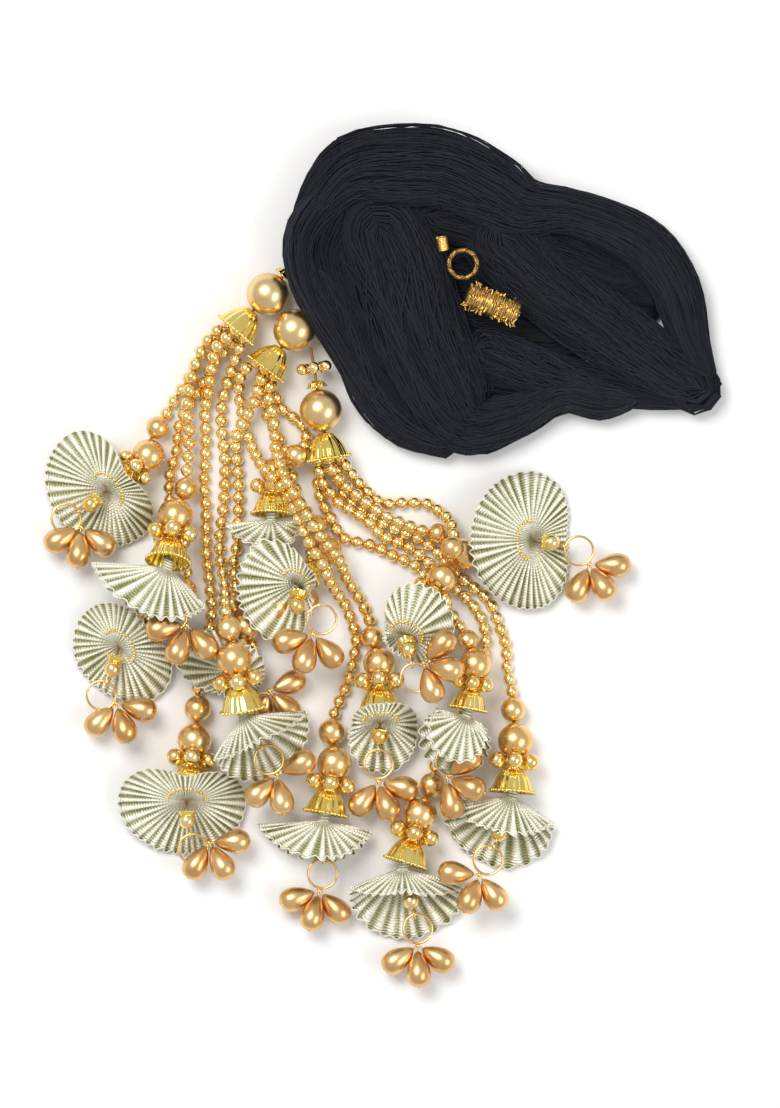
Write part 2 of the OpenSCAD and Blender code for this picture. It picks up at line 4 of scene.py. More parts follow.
import bmesh
import bpy
import mathutils
import numpy as np
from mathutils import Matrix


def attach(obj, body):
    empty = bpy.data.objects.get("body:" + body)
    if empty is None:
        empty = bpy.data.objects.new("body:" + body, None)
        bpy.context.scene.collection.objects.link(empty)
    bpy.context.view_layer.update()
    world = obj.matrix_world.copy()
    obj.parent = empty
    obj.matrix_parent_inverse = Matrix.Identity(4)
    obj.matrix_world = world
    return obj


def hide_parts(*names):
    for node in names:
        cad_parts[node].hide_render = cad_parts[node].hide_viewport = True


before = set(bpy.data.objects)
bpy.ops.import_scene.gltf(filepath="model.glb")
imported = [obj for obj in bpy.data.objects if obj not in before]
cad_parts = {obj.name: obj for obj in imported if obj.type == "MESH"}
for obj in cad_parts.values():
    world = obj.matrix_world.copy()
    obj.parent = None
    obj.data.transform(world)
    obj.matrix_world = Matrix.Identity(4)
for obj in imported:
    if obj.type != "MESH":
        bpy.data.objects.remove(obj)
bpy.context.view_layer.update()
print("frame loaded")

# All sizes below are in millimetres, as in the part. They become metres when a mesh is made.
home = np.array([0.8, 1.3, 0.0])  # the part's own shift, so that its outline is centred

# Camera straight above, with a long lens
cameraSetup = {"height": 2500, "aim": (2.6, 0.8), "seenHeight": 369.3}


def addObject(name, data):
    thing = bpy.data.objects.new(name, data)
    bpy.context.scene.collection.objects.link(thing)
    return thing


def placeCamera():
    data = bpy.data.cameras.new("camera")
    data.sensor_width = 36
    data.sensor_fit = "AUTO"
    data.lens = data.sensor_width * cameraSetup["height"] / cameraSetup["seenHeight"]
    camera = addObject("camera", data)
    camera.location = [v / 1000 for v in (*cameraSetup["aim"], cameraSetup["height"])]
    bpy.context.scene.camera = camera


placeCamera()
print("camera placed")

# Head beads: place, azimuth of the line from the bead to its cap, beads on the neck
heads = [
  [[-38.8, 85.9, 8], -131, False],
  [[-29.9, 73.9, 8], -127, False],
  [[-21.2, 47.2, 8], -81, True]
]
slotRadius = 3.8

# One row for each tassel: head, angle of its slot in the head cap's mouth, the chain's route
routes = [
  [0, -126, [[-60.5, 67, 2.6], [-65.8, 56.8, 2.2], [-69, 52.4, 2.2], [-72.6, 46.4, 2.4]]],
  [0, 162, [[-58, 71.5, 8], [-62.5, 64, 6.8], [-64.8, 55, 6.6], [-65.8, 47, 6.6], [-64.8, 38.8, 6.6],
    [-65.8, 27, 6.8]]],
  [0, -54, [[-56, 64.2, 3.2], [-58.5, 59.5, 2.2], [-61.5, 54.5, 2.2], [-64.8, 49.8, 2.2], [-68.2, 42.5, 2.2],
    [-69.2, 33.5, 2.2], [-71.5, 26, 2.2], [-71.5, 18.5, 2.2], [-70.8, 10.8, 2.2], [-68.2, 2.5, 2.2],
    [-66, -6, 2.4]]],
  [0, 90, [[-55.2, 68.8, 10.4], [-56.8, 65.5, 9], [-58.2, 56.5, 6.6], [-59.8, 47.5, 2.6], [-59.5, 39.2, 2.2],
    [-59.8, 30.8, 2.2], [-60.2, 22.5, 2.2], [-59.5, 14.5, 2.2], [-59.5, 1.5, 2.2], [-58.6, -7.5, 2.2],
    [-57.6, -20.2, 2.2], [-60, -33, 2.2], [-62, -43, 2.6]]],
  [0, 18, [[-48.4, 67.5, 7.8], [-50.5, 61.5, 5], [-53.2, 54.2, 2.4], [-54.4, 47.2, 2.2], [-54, 39.2, 2.2],
    [-53.2, 31.5, 2.2], [-53.2, 23.5, 2.2], [-53.8, 13.8, 2.2], [-54.8, 5.5, 2.2], [-54.6, -2.5, 2.6],
    [-53.2, -10.5, 6.5], [-53, -18, 14.4]]],
  [1, -54, [[-37, 54, 3.4], [-34.6, 48.8, 2.2], [-32, 45.4, 2.2], [-28.8, 44.8, 2.2], [-27, 40.4, 2.2],
    [-25.8, 37, 3.4]]],
  [1, -126, [[-41, 56.5, 3], [-40.4, 51, 2.2], [-38.8, 45, 2.2], [-35.6, 39, 2.2], [-32.4, 32, 2.2],
    [-30.4, 24, 2.2], [-28, 16, 2.2], [-24.8, 12.4, 2.6]]],
  [2, 18, [[-12.8, 28.8, 7], [-10, 25, 4], [-7.6, 22.2, 2.4], [-4.8, 19.4, 2.2], [-1.5, 16.8, 2.2],
    [2.2, 16.2, 2.2], [6.5, 16.6, 2.2], [14.5, 16.2, 2.2], [17.8, 14, 3.4], [21, 11.4, 5.6], [23, 7, 9.8]]],
  [1, 18, [[-38.2, 55.5, 8], [-38.6, 51, 6.8], [-37.2, 46, 6.6], [-36.4, 40, 6.6], [-36.2, 35, 8.6],
    [-34.6, 28.8, 15.4], [-32, 22.6, 20.8], [-27.6, 15.8, 20.8], [-23, 8.2, 20.4], [-17.8, 1.2, 16.4],
    [-14.8, -3, 11.4], [-12.4, -9, 5], [-8.8, -14.5, 2.3], [-5, -22.5, 2.5]]],
  [2, -126, [[-22, 26, 3.4], [-22.2, 20.8, 2.2], [-20.5, 16.5, 2.2], [-19, 13.2, 2.2], [-17, 10, 2.2],
    [-15.6, 7, 2.2], [-13, 4.4, 2.2], [-9.2, 3.4, 2.2], [-4.5, 2.4, 2.2], [-0.9, 0.8, 2.2], [2.9, -1.2, 2.2],
    [6.8, -2.8, 2.2], [10, -4.6, 2.2], [12.8, -7.6, 2.2], [17, -12.8, 2.2], [21.2, -18.8, 2.2],
    [24.6, -24, 3.4]]],
  [2, 90, [[-17.2, 27, 10.4], [-13.4, 22.4, 7.4], [-7.6, 17.8, 6], [-3.6, 14.8, 5.8], [0, 12.4, 5.8],
    [4.2, 10.4, 5.8], [8.8, 8.6, 5.8], [12.8, 7.2, 5]]],
  [1, 162, [[-47.2, 60, 8], [-48.4, 54.5, 4], [-47.5, 47.2, 2.2], [-46.6, 42.6, 2.2], [-44.2, 35.5, 4.8],
    [-40.8, 29, 11.6], [-36.8, 24.4, 17.2], [-33, 20.6, 16.4], [-31, 16.8, 16.4], [-27.8, 8.8, 17],
    [-23.8, 1.2, 18.2], [-21.2, -2.8, 17.6], [-19.2, -7.2, 15], [-17.4, -10.8, 10.5], [-15.2, -14.4, 5.8],
    [-12.8, -18.4, 2.6], [-9.8, -27.2, 2.2], [-9.8, -31.8, 2.2], [-11.5, -40.5, 2.2], [-12.8, -44.5, 2.2],
    [-16.8, -53.8, 2.2]]],
  [2, 162, [[-21.6, 26.8, 8], [-20.4, 22.8, 6.6], [-17.6, 19.4, 6], [-15.2, 16.4, 5.8], [-11.2, 14, 5.8],
    [-7.5, 11.6, 5.8], [-3.8, 8.6, 5], [-1.4, 5.8, 3.2], [2.2, 4, 2.2], [6.5, 2.6, 2.2], [10.2, 0.2, 2.2],
    [13.4, -2.2, 2.2], [16.2, -5.4, 2.2], [20.8, -10, 2.2], [26, -14, 2.2], [28.6, -16.8, 2.2],
    [31.2, -20.5, 2.2], [33.2, -25, 2.2], [33.6, -33, 2.2], [31.4, -41, 2.2], [27, -50, 2.2], [22, -58, 2.2],
    [18.4, -66, 2.2], [16.6, -72, 2.6]]],
  [2, -54, [[-15.6, 26, 3.4], [-14, 19.8, 2.2], [-10.8, 16.4, 2.2], [-7.2, 13.6, 2.2], [-2.8, 11, 2.2],
    [1.5, 8.8, 2.2], [5.8, 6.8, 2.2], [10.6, 5, 2.2], [14, 2.8, 2.2], [17.2, 0.6, 2.2], [20.6, -3.8, 2.2],
    [26.4, -9, 2.2], [32.5, -13.8, 2.2], [35.5, -17.4, 2.2], [38.5, -25.2, 2.2], [40.4, -31, 2.2],
    [40.8, -38.5, 2.2], [42.4, -46, 2.6]]],
  [1, 90, [[-41.6, 56, 9.6], [-43.4, 50, 7.4], [-46.4, 44.4, 6.8], [-49.4, 38.8, 5], [-49.2, 33, 2.4],
    [-48.6, 24, 2.2], [-48.6, 12, 2.2], [-49, 3.2, 2.2], [-50.2, -4.4, 2.2], [-49.6, -11.4, 2.4]]]
]

# Medium bead, its diameter, large bead, its diameter, azimuth and tilt of the line on from there,
# size of its bead ring and cap, length of the fan's neck
tails = [
  [[-75.5, 41.5, 4.6], 7.6, [-78.5, 32.2, 6.2], 11, -139.6, 10, 0.85, 3],
  [[-66.2, 21.2, 7.2], 7.6, [-69.5, 12.2, 10.8], 11.8, -98, 24, 1, 2.8],
  [[-66.2, -12.5, 4.2], 7.4, [-74, -18.5, 5.8], 10.6, -138.6, 8, 0.8, 5],
  [[-62.2, -52, 5], 9, [-63.2, -62.4, 7], 11.4, -97, 12, 1, 3.5],
  [[-51.8, -25.2, 18.8], 8.6, [-49.8, -35.4, 20.4], 11.8, -80, -6, 1, 2.8],
  [[-29.5, 32.2, 9.6], 7.6, [-37, 27, 6.2], 9, -92, 10, 0.9, 2.4],
  [[-22.6, 9, 3.8], 7, [-19, 0.8, 5], 9.6, -129, 21.5, 0.65, 3.8],
  [[22.4, 1.6, 14.6], 7.6, [19.2, -8.2, 11.2], 10, -123, -3, 0.85, 8.5],
  [[-4.2, -28.2, 4.2], 7.6, [-1.8, -36.8, 6.6], 10.6, -89, 12, 1, 3.5],
  [[27.6, -29.2, 6.4], 7.2, [30.2, -37.2, 10.4], 11, -100, 3, 0.85, 2.8],
  [[17.8, 6.4, 3.8], 6.6, [26.4, -0.4, 6.1], 10.6, 11.4, 5, 0.85, 8],
  [[-17.5, -59.7, 4.8], 9, [-16.7, -70.1, 7.4], 11.6, -100, 4, 1, 2.8],
  [[15.8, -77.4, 4.6], 8.6, [11.8, -87, 7.4], 11.6, -107, 5, 1, 2.6],
  [[42.8, -52.4, 4.6], 8.4, [43.5, -62.6, 7.4], 11.8, -94, 5, 1, 2.6],
  [[-50.8, -17, 4], 7.2, [-46.4, -25, 5.4], 9.6, -100, 0, 0.65, 3.5]
]

# Azimuth the fan opens towards, spread to each side (180 is opened right back), lengths ahead, to the left,
# at the top and to the right, heights of the bend below and above, heights of the edge ahead, to the left,
# at the top and to the right
fans = [
  [-140, 180, [19, 17, 8, 21], [2, 17.6], [1.8, 3, 15, 4]],
  [-115, 68, [17, 16, 16, 23], [14.2, 26.6], [14.8, 17, 26, 17]],
  [-138, 180, [15, 19, 11.5, 14], [2, 16.4], [1.8, 3, 15.4, 4]],
  [-90, 180, [18, 17.5, 8, 21], [2.4, 20.6], [1.8, 3.4, 19, 6]],
  [-60, 62, [22, 19, 9, 15], [11.5, 25], [7, 10, 23, 17]],
  [-90, 85, [8.5, 8.2, 9, 13], [3.4, 14], [4.5, 7, 12.2, 7.4]],
  [-125, 180, [21, 2, 6, 18], [9.6, 18.6], [10.4, 11.4, 16, 17]],
  [-110, 180, [6.5, 14, 17.5, 5], [5.6, 19.5], [9, 8, 21, 10.5]],
  [-90, 180, [17, 10.5, 6, 7.5], [5.6, 20], [5.2, 5.6, 19, 11]],
  [-110, 80, [19.5, 1.4, 15, 8], [6.4, 21], [7, 15, 20.5, 14]],
  [0, 180, [12, 21, 20, 21], [2, 17], [1.8, 4, 15.6, 4]],
  [-95, 80, [13.5, 14, 12, 20], [2.2, 15], [1.7, 6, 14, 6]],
  [-88, 72, [23, 20, 7, 16.5], [2.2, 15.4], [1.7, 5, 15, 15.5]],
  [-105, 72, [23, 14, 11, 21], [2.2, 15.4], [1.7, 6, 15, 6]],
  [-115, 180, [8, 7, 10, 19], [2.5, 13.4], [5.5, 4.5, 13, 7]]
]

# Azimuth from the gathering to the inner bead, distance, height of the bead, azimuth on to the ring,
# height of the ring, azimuth round the ring to the pin, azimuths of the three drops, how far they dip
rings = [
  [-140, 7.4, 10, -150, 8.8, -30, [-150, -95, -38], 6],
  [-95, 6.4, 20, -76, 20.8, -30, [-172, -110, -49], 0],
  [-106, 8, 9.6, -113, 8.8, -29, [-133, -72, -13], 6],
  [-90, 7, 12, -78, 9.8, 20, [-120, -60, 2], 6],
  [-58, 6.6, 17.6, -62, 13.6, -60, [-135, -80, 25], 0],
  [-90, 6, 8.6, -60, 4.5, -95, [-151, -96, -40], 1],
  [-97, 7, 15.6, -29, 16, -121, [-165, -108, -50], 2],
  [-77, 5, 15.8, -77, 18, 60, [45, -14, -72], 0],
  [-92, 4.6, 12.6, -93, 10, -90, [-127, -70, -15], 4],
  [-108, 6, 12.8, -112, 13.8, -100, [40, -22, -80], 0],
  [-6, 7, 8.6, -17, 7.8, -52, [-114, -58, -2], 4],
  [-92, 8, 7.6, -92, 6.4, -100, [-162, -105, -48], 3],
  [-76, 10.6, 9, -76, 8, -90, [-145, -88, -31], 4],
  [-110, 12, 9.6, -113, 12, -120, [176, -112, -55], 0],
  [-80, 6.6, 9.8, -30, 9.2, 76, [-110, -45, 20], 27]
]

# Hank: rounded sections of each bundle of thread: x, y, middle height, half width, half height
bundles = [
  [[-28, 101, 8, 5, 6], [-22, 115, 9, 8, 7], [-11, 126.5, 10, 12, 8], [5, 128, 11, 14, 9],
    [20, 127, 11, 14, 9], [35, 120, 11, 13, 9], [46, 114, 11, 10.5, 8], [58.5, 113.5, 10, 8, 8],
    [72, 109.5, 9, 8.5, 7], [87, 101.5, 8, 9, 7], [97, 87.5, 7, 8.5, 6.5], [102, 70, 6, 6.5, 5.5],
    [108, 58.5, 5, 3, 4.5]],
  [[-1, 106, 8, 18, 7], [4, 94, 8.5, 18, 7.5], [8, 82, 9, 17, 8], [13.5, 67.5, 9, 16, 8],
    [22, 51, 8, 15, 7.5], [29, 42.5, 7, 10.5, 6.5], [45, 46, 6, 7.5, 5.5], [58.5, 52.5, 6, 6, 5.5],
    [72, 50.5, 5.5, 6.5, 5], [82, 50.5, 5, 3, 4.5]],
  [[-21, 93, 6.5, 6, 6], [-15.5, 83, 6.5, 6.5, 6], [-12.4, 73, 6.5, 6, 6], [-9, 63, 6.5, 6.5, 6],
    [-3, 51, 6, 7, 5.5], [7, 41, 6, 6, 5.5], [20, 36, 5, 4.5, 4.5]],
  [[40, 104, 8, 14, 7.5], [55, 89, 8, 13, 7.5], [72, 76, 7.5, 12.5, 7], [88, 64.5, 7, 11, 6.5],
    [101, 56.5, 6, 8, 5.5], [109, 56, 5, 3, 4.5]],
  [[34, 67, 6, 8, 5.5], [52, 59, 6, 8.5, 5.5], [68, 54, 5.5, 6, 5], [82, 52, 5, 3, 4.5]],
  [[6, 66, 3.4, 20, 3.4], [14, 92, 3.4, 24, 3.4], [34, 90, 3.4, 24, 3.4], [56, 86, 3.4, 24, 3.4],
    [78, 85, 3.4, 15, 3.4], [86, 86, 3, 9, 3]]
]

beadSizes = {"small": 4.22, "pitch": 4.15, "head": 14.2, "ring": 5.5, "ringRadius": 6.0, "ringHub": 1.4,
             "ringWire": 0.35, "inner": 5.6, "bareStart": 4.4}
capSizes = {"radius": 7.0, "length": 8.6, "flutes": 14, "fluteDepth": 0.07, "wall": 0.6, "crown": 0.14,
            "rimOut": 1.02, "rimWire": 0.32, "rimPearls": 34, "rimPearl": 0.55, "pearlsOut": 0.25}
dropSizes = {"length": 11.6, "width": 8.2, "reach": 7.9, "jumpRadius": 4.8, "wire": 0.4, "eye": 1.4,
             "pin": 0.9, "middleLift": 13, "stemWire": 0.3, "loopWire": 0.26, "holeRadius": 0.52, "tip": 0.65}
fanSizes = {"pleatPitch": 2.9, "stepsPerPleat": 6, "rows": 11, "gather": 1.8, "knee": 3.6, "kneeShare": 0.3,
            "thickness": 0.3, "pleatHeight": 1.2, "scallop": 0.65, "ribbonWidth": 23.0, "selvedge": 0.26,
            "seed": 4, "frill": 0.8, "pleatsPerFrill": 3.2, "neck": [4.6, 2.4], "seam": 1.01,
            "pearlShare": 0.34, "pearlPitch": 1.5, "pearl": 0.55}
# Unevenness of the pleats: how far their phase runs ahead, how often on the way round, share of the seed
fanUneven = [(0.28, 3, 1), (0.18, 7, 2)]


def unit(v):
    return v / max(np.linalg.norm(v), 1e-9)


def heading(azimuth, tilt=0.0):
    a = math.radians(azimuth)
    t = math.radians(tilt)
    return np.array([math.cos(t) * math.cos(a), math.cos(t) * math.sin(a), math.sin(t)])


def circlePoint(r, a):
    return [r * math.cos(a), r * math.sin(a)]


def smoothLine(points, steps=6):
    # Smooth line through given points
    p = np.array(points, dtype=float)
    out = []
    for i in range(len(p) - 1):
        a, b, c, d = p[max(i - 1, 0)], p[i], p[i + 1], p[min(i + 2, len(p) - 1)]
        for s in range(steps):
            t = s / steps
            out.append(0.5 * (2 * b + (c - a) * t + (2 * a - 5 * b + 4 * c - d) * t * t
                              + (3 * b - a - 3 * c + d) * t ** 3))
    out.append(p[-1])
    return np.array(out)


def runLengths(line):
    return np.concatenate([[0], np.cumsum(np.linalg.norm(np.diff(line, axis=0), axis=1))])


def along(line, distances):
    runs = runLengths(line)
    return np.stack([np.interp(distances, runs, line[:, k]) for k in range(3)], axis=-1)


# Places on a head's line and on a tassel's tail, the same as in the part
headApex = beadSizes["head"] / 2 + 0.4
headMouth = headApex + capSizes["length"]


def headPlace(head, distance):
    return np.array(heads[head][0], dtype=float) + heading(heads[head][1]) * distance


def slotPlace(row, distance, radius):
    turn = math.radians(row[1])
    side = heading(heads[row[0]][1] + 90) * radius * math.cos(turn)
    return headPlace(row[0], distance) + side + np.array([0, 0, radius * math.sin(turn)])


def tailPlace(i, distance):
    return np.array(tails[i][2], dtype=float) + heading(tails[i][4], tails[i][5]) * distance


def ringDistance(t):
    return t[3] / 2 + 0.9 * t[6]


def apexDistance(t):
    return t[3] / 2 + 2.4 * t[6]


def mouthDistance(t):
    return apexDistance(t) + capSizes["length"] * t[6]


def gatherPlace(i):
    return tailPlace(i, mouthDistance(tails[i]) + tails[i][7])


def beadPlace(i):
    r = rings[i]
    g = gatherPlace(i)
    spot = g + heading(r[0]) * r[1]
    return np.array([spot[0], spot[1], r[2]])


def eyePlace(i):
    r = rings[i]
    spot = beadPlace(i) + heading(r[3]) * (beadSizes["inner"] / 2 + dropSizes["eye"] + 0.5)
    return np.array([spot[0], spot[1], r[4]])


def jumpPlace(i):
    return eyePlace(i) + heading(rings[i][3]) * dropSizes["jumpRadius"]


def pinPlace(i):
    return jumpPlace(i) + heading(rings[i][5]) * (dropSizes["jumpRadius"] + dropSizes["pin"])


def frameFor(direction):
    # Three axes with the third along the direction
    z = unit(np.array(direction, dtype=float))
    helper = np.array([0, 0, 1.0]) if abs(z[2]) < 0.95 else np.array([1.0, 0, 0])
    x = unit(np.cross(helper, z))
    y = np.cross(z, x)
    return np.stack([x, y, z])


def turned(points, place, direction):
    return np.asarray(points) @ frameFor(direction) + np.array(place)


print("places worked out")


# Materials

def addNode(tree, kind, inputs=None, **settings):
    node = tree.nodes.new(kind)
    for key, value in settings.items():
        setattr(node, key, value)
    for key, value in (inputs or {}).items():
        node.inputs[key].default_value = value
    return node


def link(source, output, target, entry):
    # Joins two nodes of one tree
    source.id_data.links.new(source.outputs[output], target.inputs[entry])


def mathNode(tree, operation, value):
    # Math node with its second value fixed
    return addNode(tree, "ShaderNodeMath", {1: value}, operation=operation)


def noiseOn(place, scale, detail):
    # Noise that follows the object's own place
    noise = addNode(place.id_data, "ShaderNodeTexNoise", {"Scale": scale, "Detail": detail})
    link(place, "Object", noise, "Vector")
    return noise


def newMaterial(name, color, metallic, roughness, **sockets):
    material = bpy.data.materials.new(name)
    material.use_nodes = True
    tree = material.node_tree
    shader = tree.nodes["Principled BSDF"]
    shader.inputs["Base Color"].default_value = (*color, 1)
    shader.inputs["Metallic"].default_value = metallic
    shader.inputs["Roughness"].default_value = roughness
    for key, value in sockets.items():
        shader.inputs[key.replace("_", " ")].default_value = value
    return material, tree, shader


def tinted(source, output, shader, low, high, start, stop):
    # Colour ramp from a node's value to the shader's base colour
    ramp = addNode(shader.id_data, "ShaderNodeValToRGB")
    for element, color, position in zip(ramp.color_ramp.elements, (low, high), (start, stop)):
        element.position = position
        element.color = (*color, 1)
    link(source, output, ramp, "Fac")
    link(ramp, "Color", shader, "Base Color")


def platedMetal(name, low, high, roughness, grain, bump):
    # Plated metal: slow changes of tint, and a fine skin that breaks up the reflections a little
    material, tree, shader = newMaterial(name, high, 1.0, roughness)
    place = addNode(tree, "ShaderNodeTexCoord")
    tint = noiseOn(place, 90, 2)
    fine = noiseOn(place, grain, 3)
    rough = addNode(tree, "ShaderNodeMapRange", {"To Min": roughness * 0.75, "To Max": roughness * 1.3})
    lift = addNode(tree, "ShaderNodeBump", {"Strength": bump, "Distance": 0.0002})
    tinted(tint, "Fac", shader, low, high, 0.35, 0.65)
    link(fine, "Fac", rough, "Value")
    link(rough, "Result", shader, "Roughness")
    link(fine, "Fac", lift, "Height")
    link(lift, "Normal", shader, "Normal")
    return material


def threadMaterial(name, low, high, strandBump, sheen, metallic=0.0, roughness=0.75):
    # Spun thread: each one has a tint of its own, which in the hank and the loop also carries painted shade
    # and painted highlight, and a fuzzy skin
    material, tree, shader = newMaterial(
        name, high, metallic, roughness, Sheen_Weight=sheen, Sheen_Roughness=0.4,
        Sheen_Tint=(0.6, 0.66, 0.85, 1), Specular_IOR_Level=0.3)
    tint = addNode(tree, "ShaderNodeAttribute", attribute_name="threadTint")
    place = addNode(tree, "ShaderNodeTexCoord")
    fuzz = noiseOn(place, 1600, 4)
    mixed = mathNode(tree, "MULTIPLY_ADD", 0.35)
    lift = addNode(tree, "ShaderNodeBump", {"Strength": strandBump, "Distance": 0.0003})
    link(fuzz, "Fac", mixed, 0)
    link(tint, "Fac", mixed, 2)
    tinted(mixed, "Value", shader, low, high, 0.1, 1.1)
    link(fuzz, "Fac", lift, "Height")
    link(lift, "Normal", shader, "Normal")
    return material


def tissueMaterial():
    # Metallic tissue: silver-gold crests as painted highlight, olive hollows as painted shade, fine cross
    # ribs and bright specks
    material, tree, shader = newMaterial("pleatedTissue", (0.8, 0.78, 0.62), 0.5, 0.36)
    # Crest value of the pleats: it paints the crests light and the hollows dark, as painted highlight and
    # painted shade
    ridgeLightAndShade = addNode(tree, "ShaderNodeAttribute", attribute_name="ridgeLightAndShade")
    flat = addNode(tree, "ShaderNodeUVMap", uv_map="cloth")
    split = addNode(tree, "ShaderNodeSeparateXYZ")
    ribs = addNode(tree, "ShaderNodeMath", operation="SINE")
    count = mathNode(tree, "MULTIPLY", 6.5)
    place = addNode(tree, "ShaderNodeTexCoord")
    specks = noiseOn(place, 2600, 2)
    slow = noiseOn(place, 120, 2)
    speckled = mathNode(tree, "MULTIPLY_ADD", 0.9)
    shade = mathNode(tree, "MULTIPLY_ADD", 0.5)
    height = mathNode(tree, "MULTIPLY_ADD", 0.35)
    less = mathNode(tree, "SUBTRACT", 0.7)
    lift = addNode(tree, "ShaderNodeBump", {"Strength": 0.8, "Distance": 0.0003})
    rough = addNode(tree, "ShaderNodeMapRange", {"To Min": 0.24, "To Max": 0.5})
    link(flat, "UV", split, "Vector")
    link(split, "Y", count, 0)
    link(count, "Value", ribs, 0)
    link(ribs, "Value", height, 0)
    link(specks, "Fac", height, 2)
    link(height, "Value", lift, "Height")
    link(specks, "Fac", speckled, 0)
    link(ridgeLightAndShade, "Fac", speckled, 2)
    ribbed = mathNode(tree, "MULTIPLY_ADD", 0.13)
    link(ribs, "Value", ribbed, 0)
    link(less, "Value", ribbed, 2)
    link(slow, "Fac", shade, 0)
    link(speckled, "Value", less, 0)
    link(ribbed, "Value", shade, 2)
    tinted(shade, "Value", shader, (0.24, 0.24, 0.07), (1.0, 0.98, 0.84), -0.02, 0.78)
    link(specks, "Fac", rough, "Value")
    link(rough, "Result", shader, "Roughness")
    link(lift, "Normal", shader, "Normal")
    return material


metals = {
    "beadGold": ((0.93, 0.62, 0.2), (1.0, 0.8, 0.4), 0.2, 900, 0.03),
    "satinGold": ((0.84, 0.53, 0.2), (0.94, 0.66, 0.32), 0.28, 1500, 0.06),
    "champagne": ((0.82, 0.58, 0.26), (0.93, 0.71, 0.4), 0.3, 1500, 0.06),
    "capGold": ((0.92, 0.66, 0.14), (1.0, 0.82, 0.28), 0.14, 700, 0.06),
    "roseGold": ((0.7, 0.4, 0.15), (0.88, 0.58, 0.28), 0.3, 1500, 0.06),
    "wireGold": ((0.85, 0.55, 0.18), (0.95, 0.68, 0.3), 0.2, 900, 0.05),
}
finishes = {name: platedMetal(name, *values) for name, values in metals.items()}
finishes.update({
    "goldThread": threadMaterial("goldThread", (0.35, 0.2, 0.05), (0.75, 0.5, 0.18), 0.3, 0.2, 0.5, 0.45),
    "navyThread": threadMaterial("navyThread", (0.0006, 0.0008, 0.0024), (0.013, 0.016, 0.028), 0.5, 0.05),
    "zariThread": threadMaterial("zariThread", (0.07, 0.025, 0.004), (1.0, 0.66, 0.2), 0.4, 0.05, 0.9, 0.26),
    "tissue": tissueMaterial(),
    "selvedge": newMaterial("selvedge", (0.86, 0.84, 0.7), 0.25, 0.5)[0],
    # Near-black stand-in for the holes in the drops: painted shade
    "paintedHoleShade": newMaterial("paintedHoleShade", (0.02, 0.015, 0.01), 0.0, 0.9)[0],
})
print("materials made")


# Radius at which an outline closes on its own axis
pole = 0.001

# Mesh parts: lists of (points, faces, finish, values kept with the mesh), joined into one piece at the end

def solidRod(a, b, r, finish, sides=10):
    a, b = np.array(a, dtype=float), np.array(b, dtype=float)
    ring = [circlePoint(r, 2 * math.pi * k / sides) for k in range(sides)]
    length = np.linalg.norm(b - a)
    flat = [[x, y, 0] for x, y in ring] + [[x, y, length] for x, y in ring]
    faces = [(k, (k + 1) % sides, sides + (k + 1) % sides, sides + k) for k in range(sides)]
    faces += [tuple(range(sides - 1, -1, -1)), tuple(range(sides, 2 * sides))]
    return turned(flat, a, b - a), faces, finish, {}


def ringFaces(rows, steps):
    # Faces between closed rings of points
    faces = []
    for row in range(rows - 1):
        for k in range(steps):
            n = (k + 1) % steps
            faces.append((row * steps + k, row * steps + n, (row + 1) * steps + n, (row + 1) * steps + k))
    return faces


def lathe(outline, place, direction, finish, steps=32, flutes=0, depth=0.0):
    # Turns an outline of (radius, height) rows; flutes press hollows into it
    points = []
    for r, h in outline:
        for k in range(steps):
            a = 2 * math.pi * k / steps
            push = 1 - depth * abs(math.sin(a * flutes / 2)) ** 3 if flutes else 1
            points.append([*circlePoint(r * push, a), h])
    return turned(points, place, direction), ringFaces(len(outline), steps), finish, {}


def ball(place, r, finish, direction=(0, 0, 1), steps=28, rows=18, squash=1.0, hole=0.12):
    # Bead with a small dimpled hole at each end of its thread
    outline = []
    for k in range(rows + 1):
        a = math.pi * k / rows
        outline.append([max(r * math.sin(a), 0.0), -r * squash * math.cos(a)])
    inner = r * hole
    outline = [p for p in outline if p[0] > inner * 1.05]
    end = math.sqrt(max(r * r - inner * inner, 0)) * squash
    outline = [[pole, -end + inner * 0.8], [inner * 0.7, -end + inner * 0.4], [inner, -end]] + outline
    outline += [[inner, end], [inner * 0.7, end - inner * 0.4], [pole, end - inner * 0.8]]
    return lathe(outline, place, direction, finish, steps)


def hoop(place, direction, ringRadius, wireRadius, finish, steps=40, sides=8):
    points = []
    faces = []
    for k in range(steps):
        a = 2 * math.pi * k / steps
        for s in range(sides):
            b = 2 * math.pi * s / sides
            r = ringRadius + wireRadius * math.cos(b)
            points.append([*circlePoint(r, a), wireRadius * math.sin(b)])
    for k in range(steps):
        for s in range(sides):
            a, b = k * sides + s, k * sides + (s + 1) % sides
            n = ((k + 1) % steps) * sides
            faces.append((a, n + s, n + (s + 1) % sides, b))
    return turned(points, place, direction), faces, finish, {}


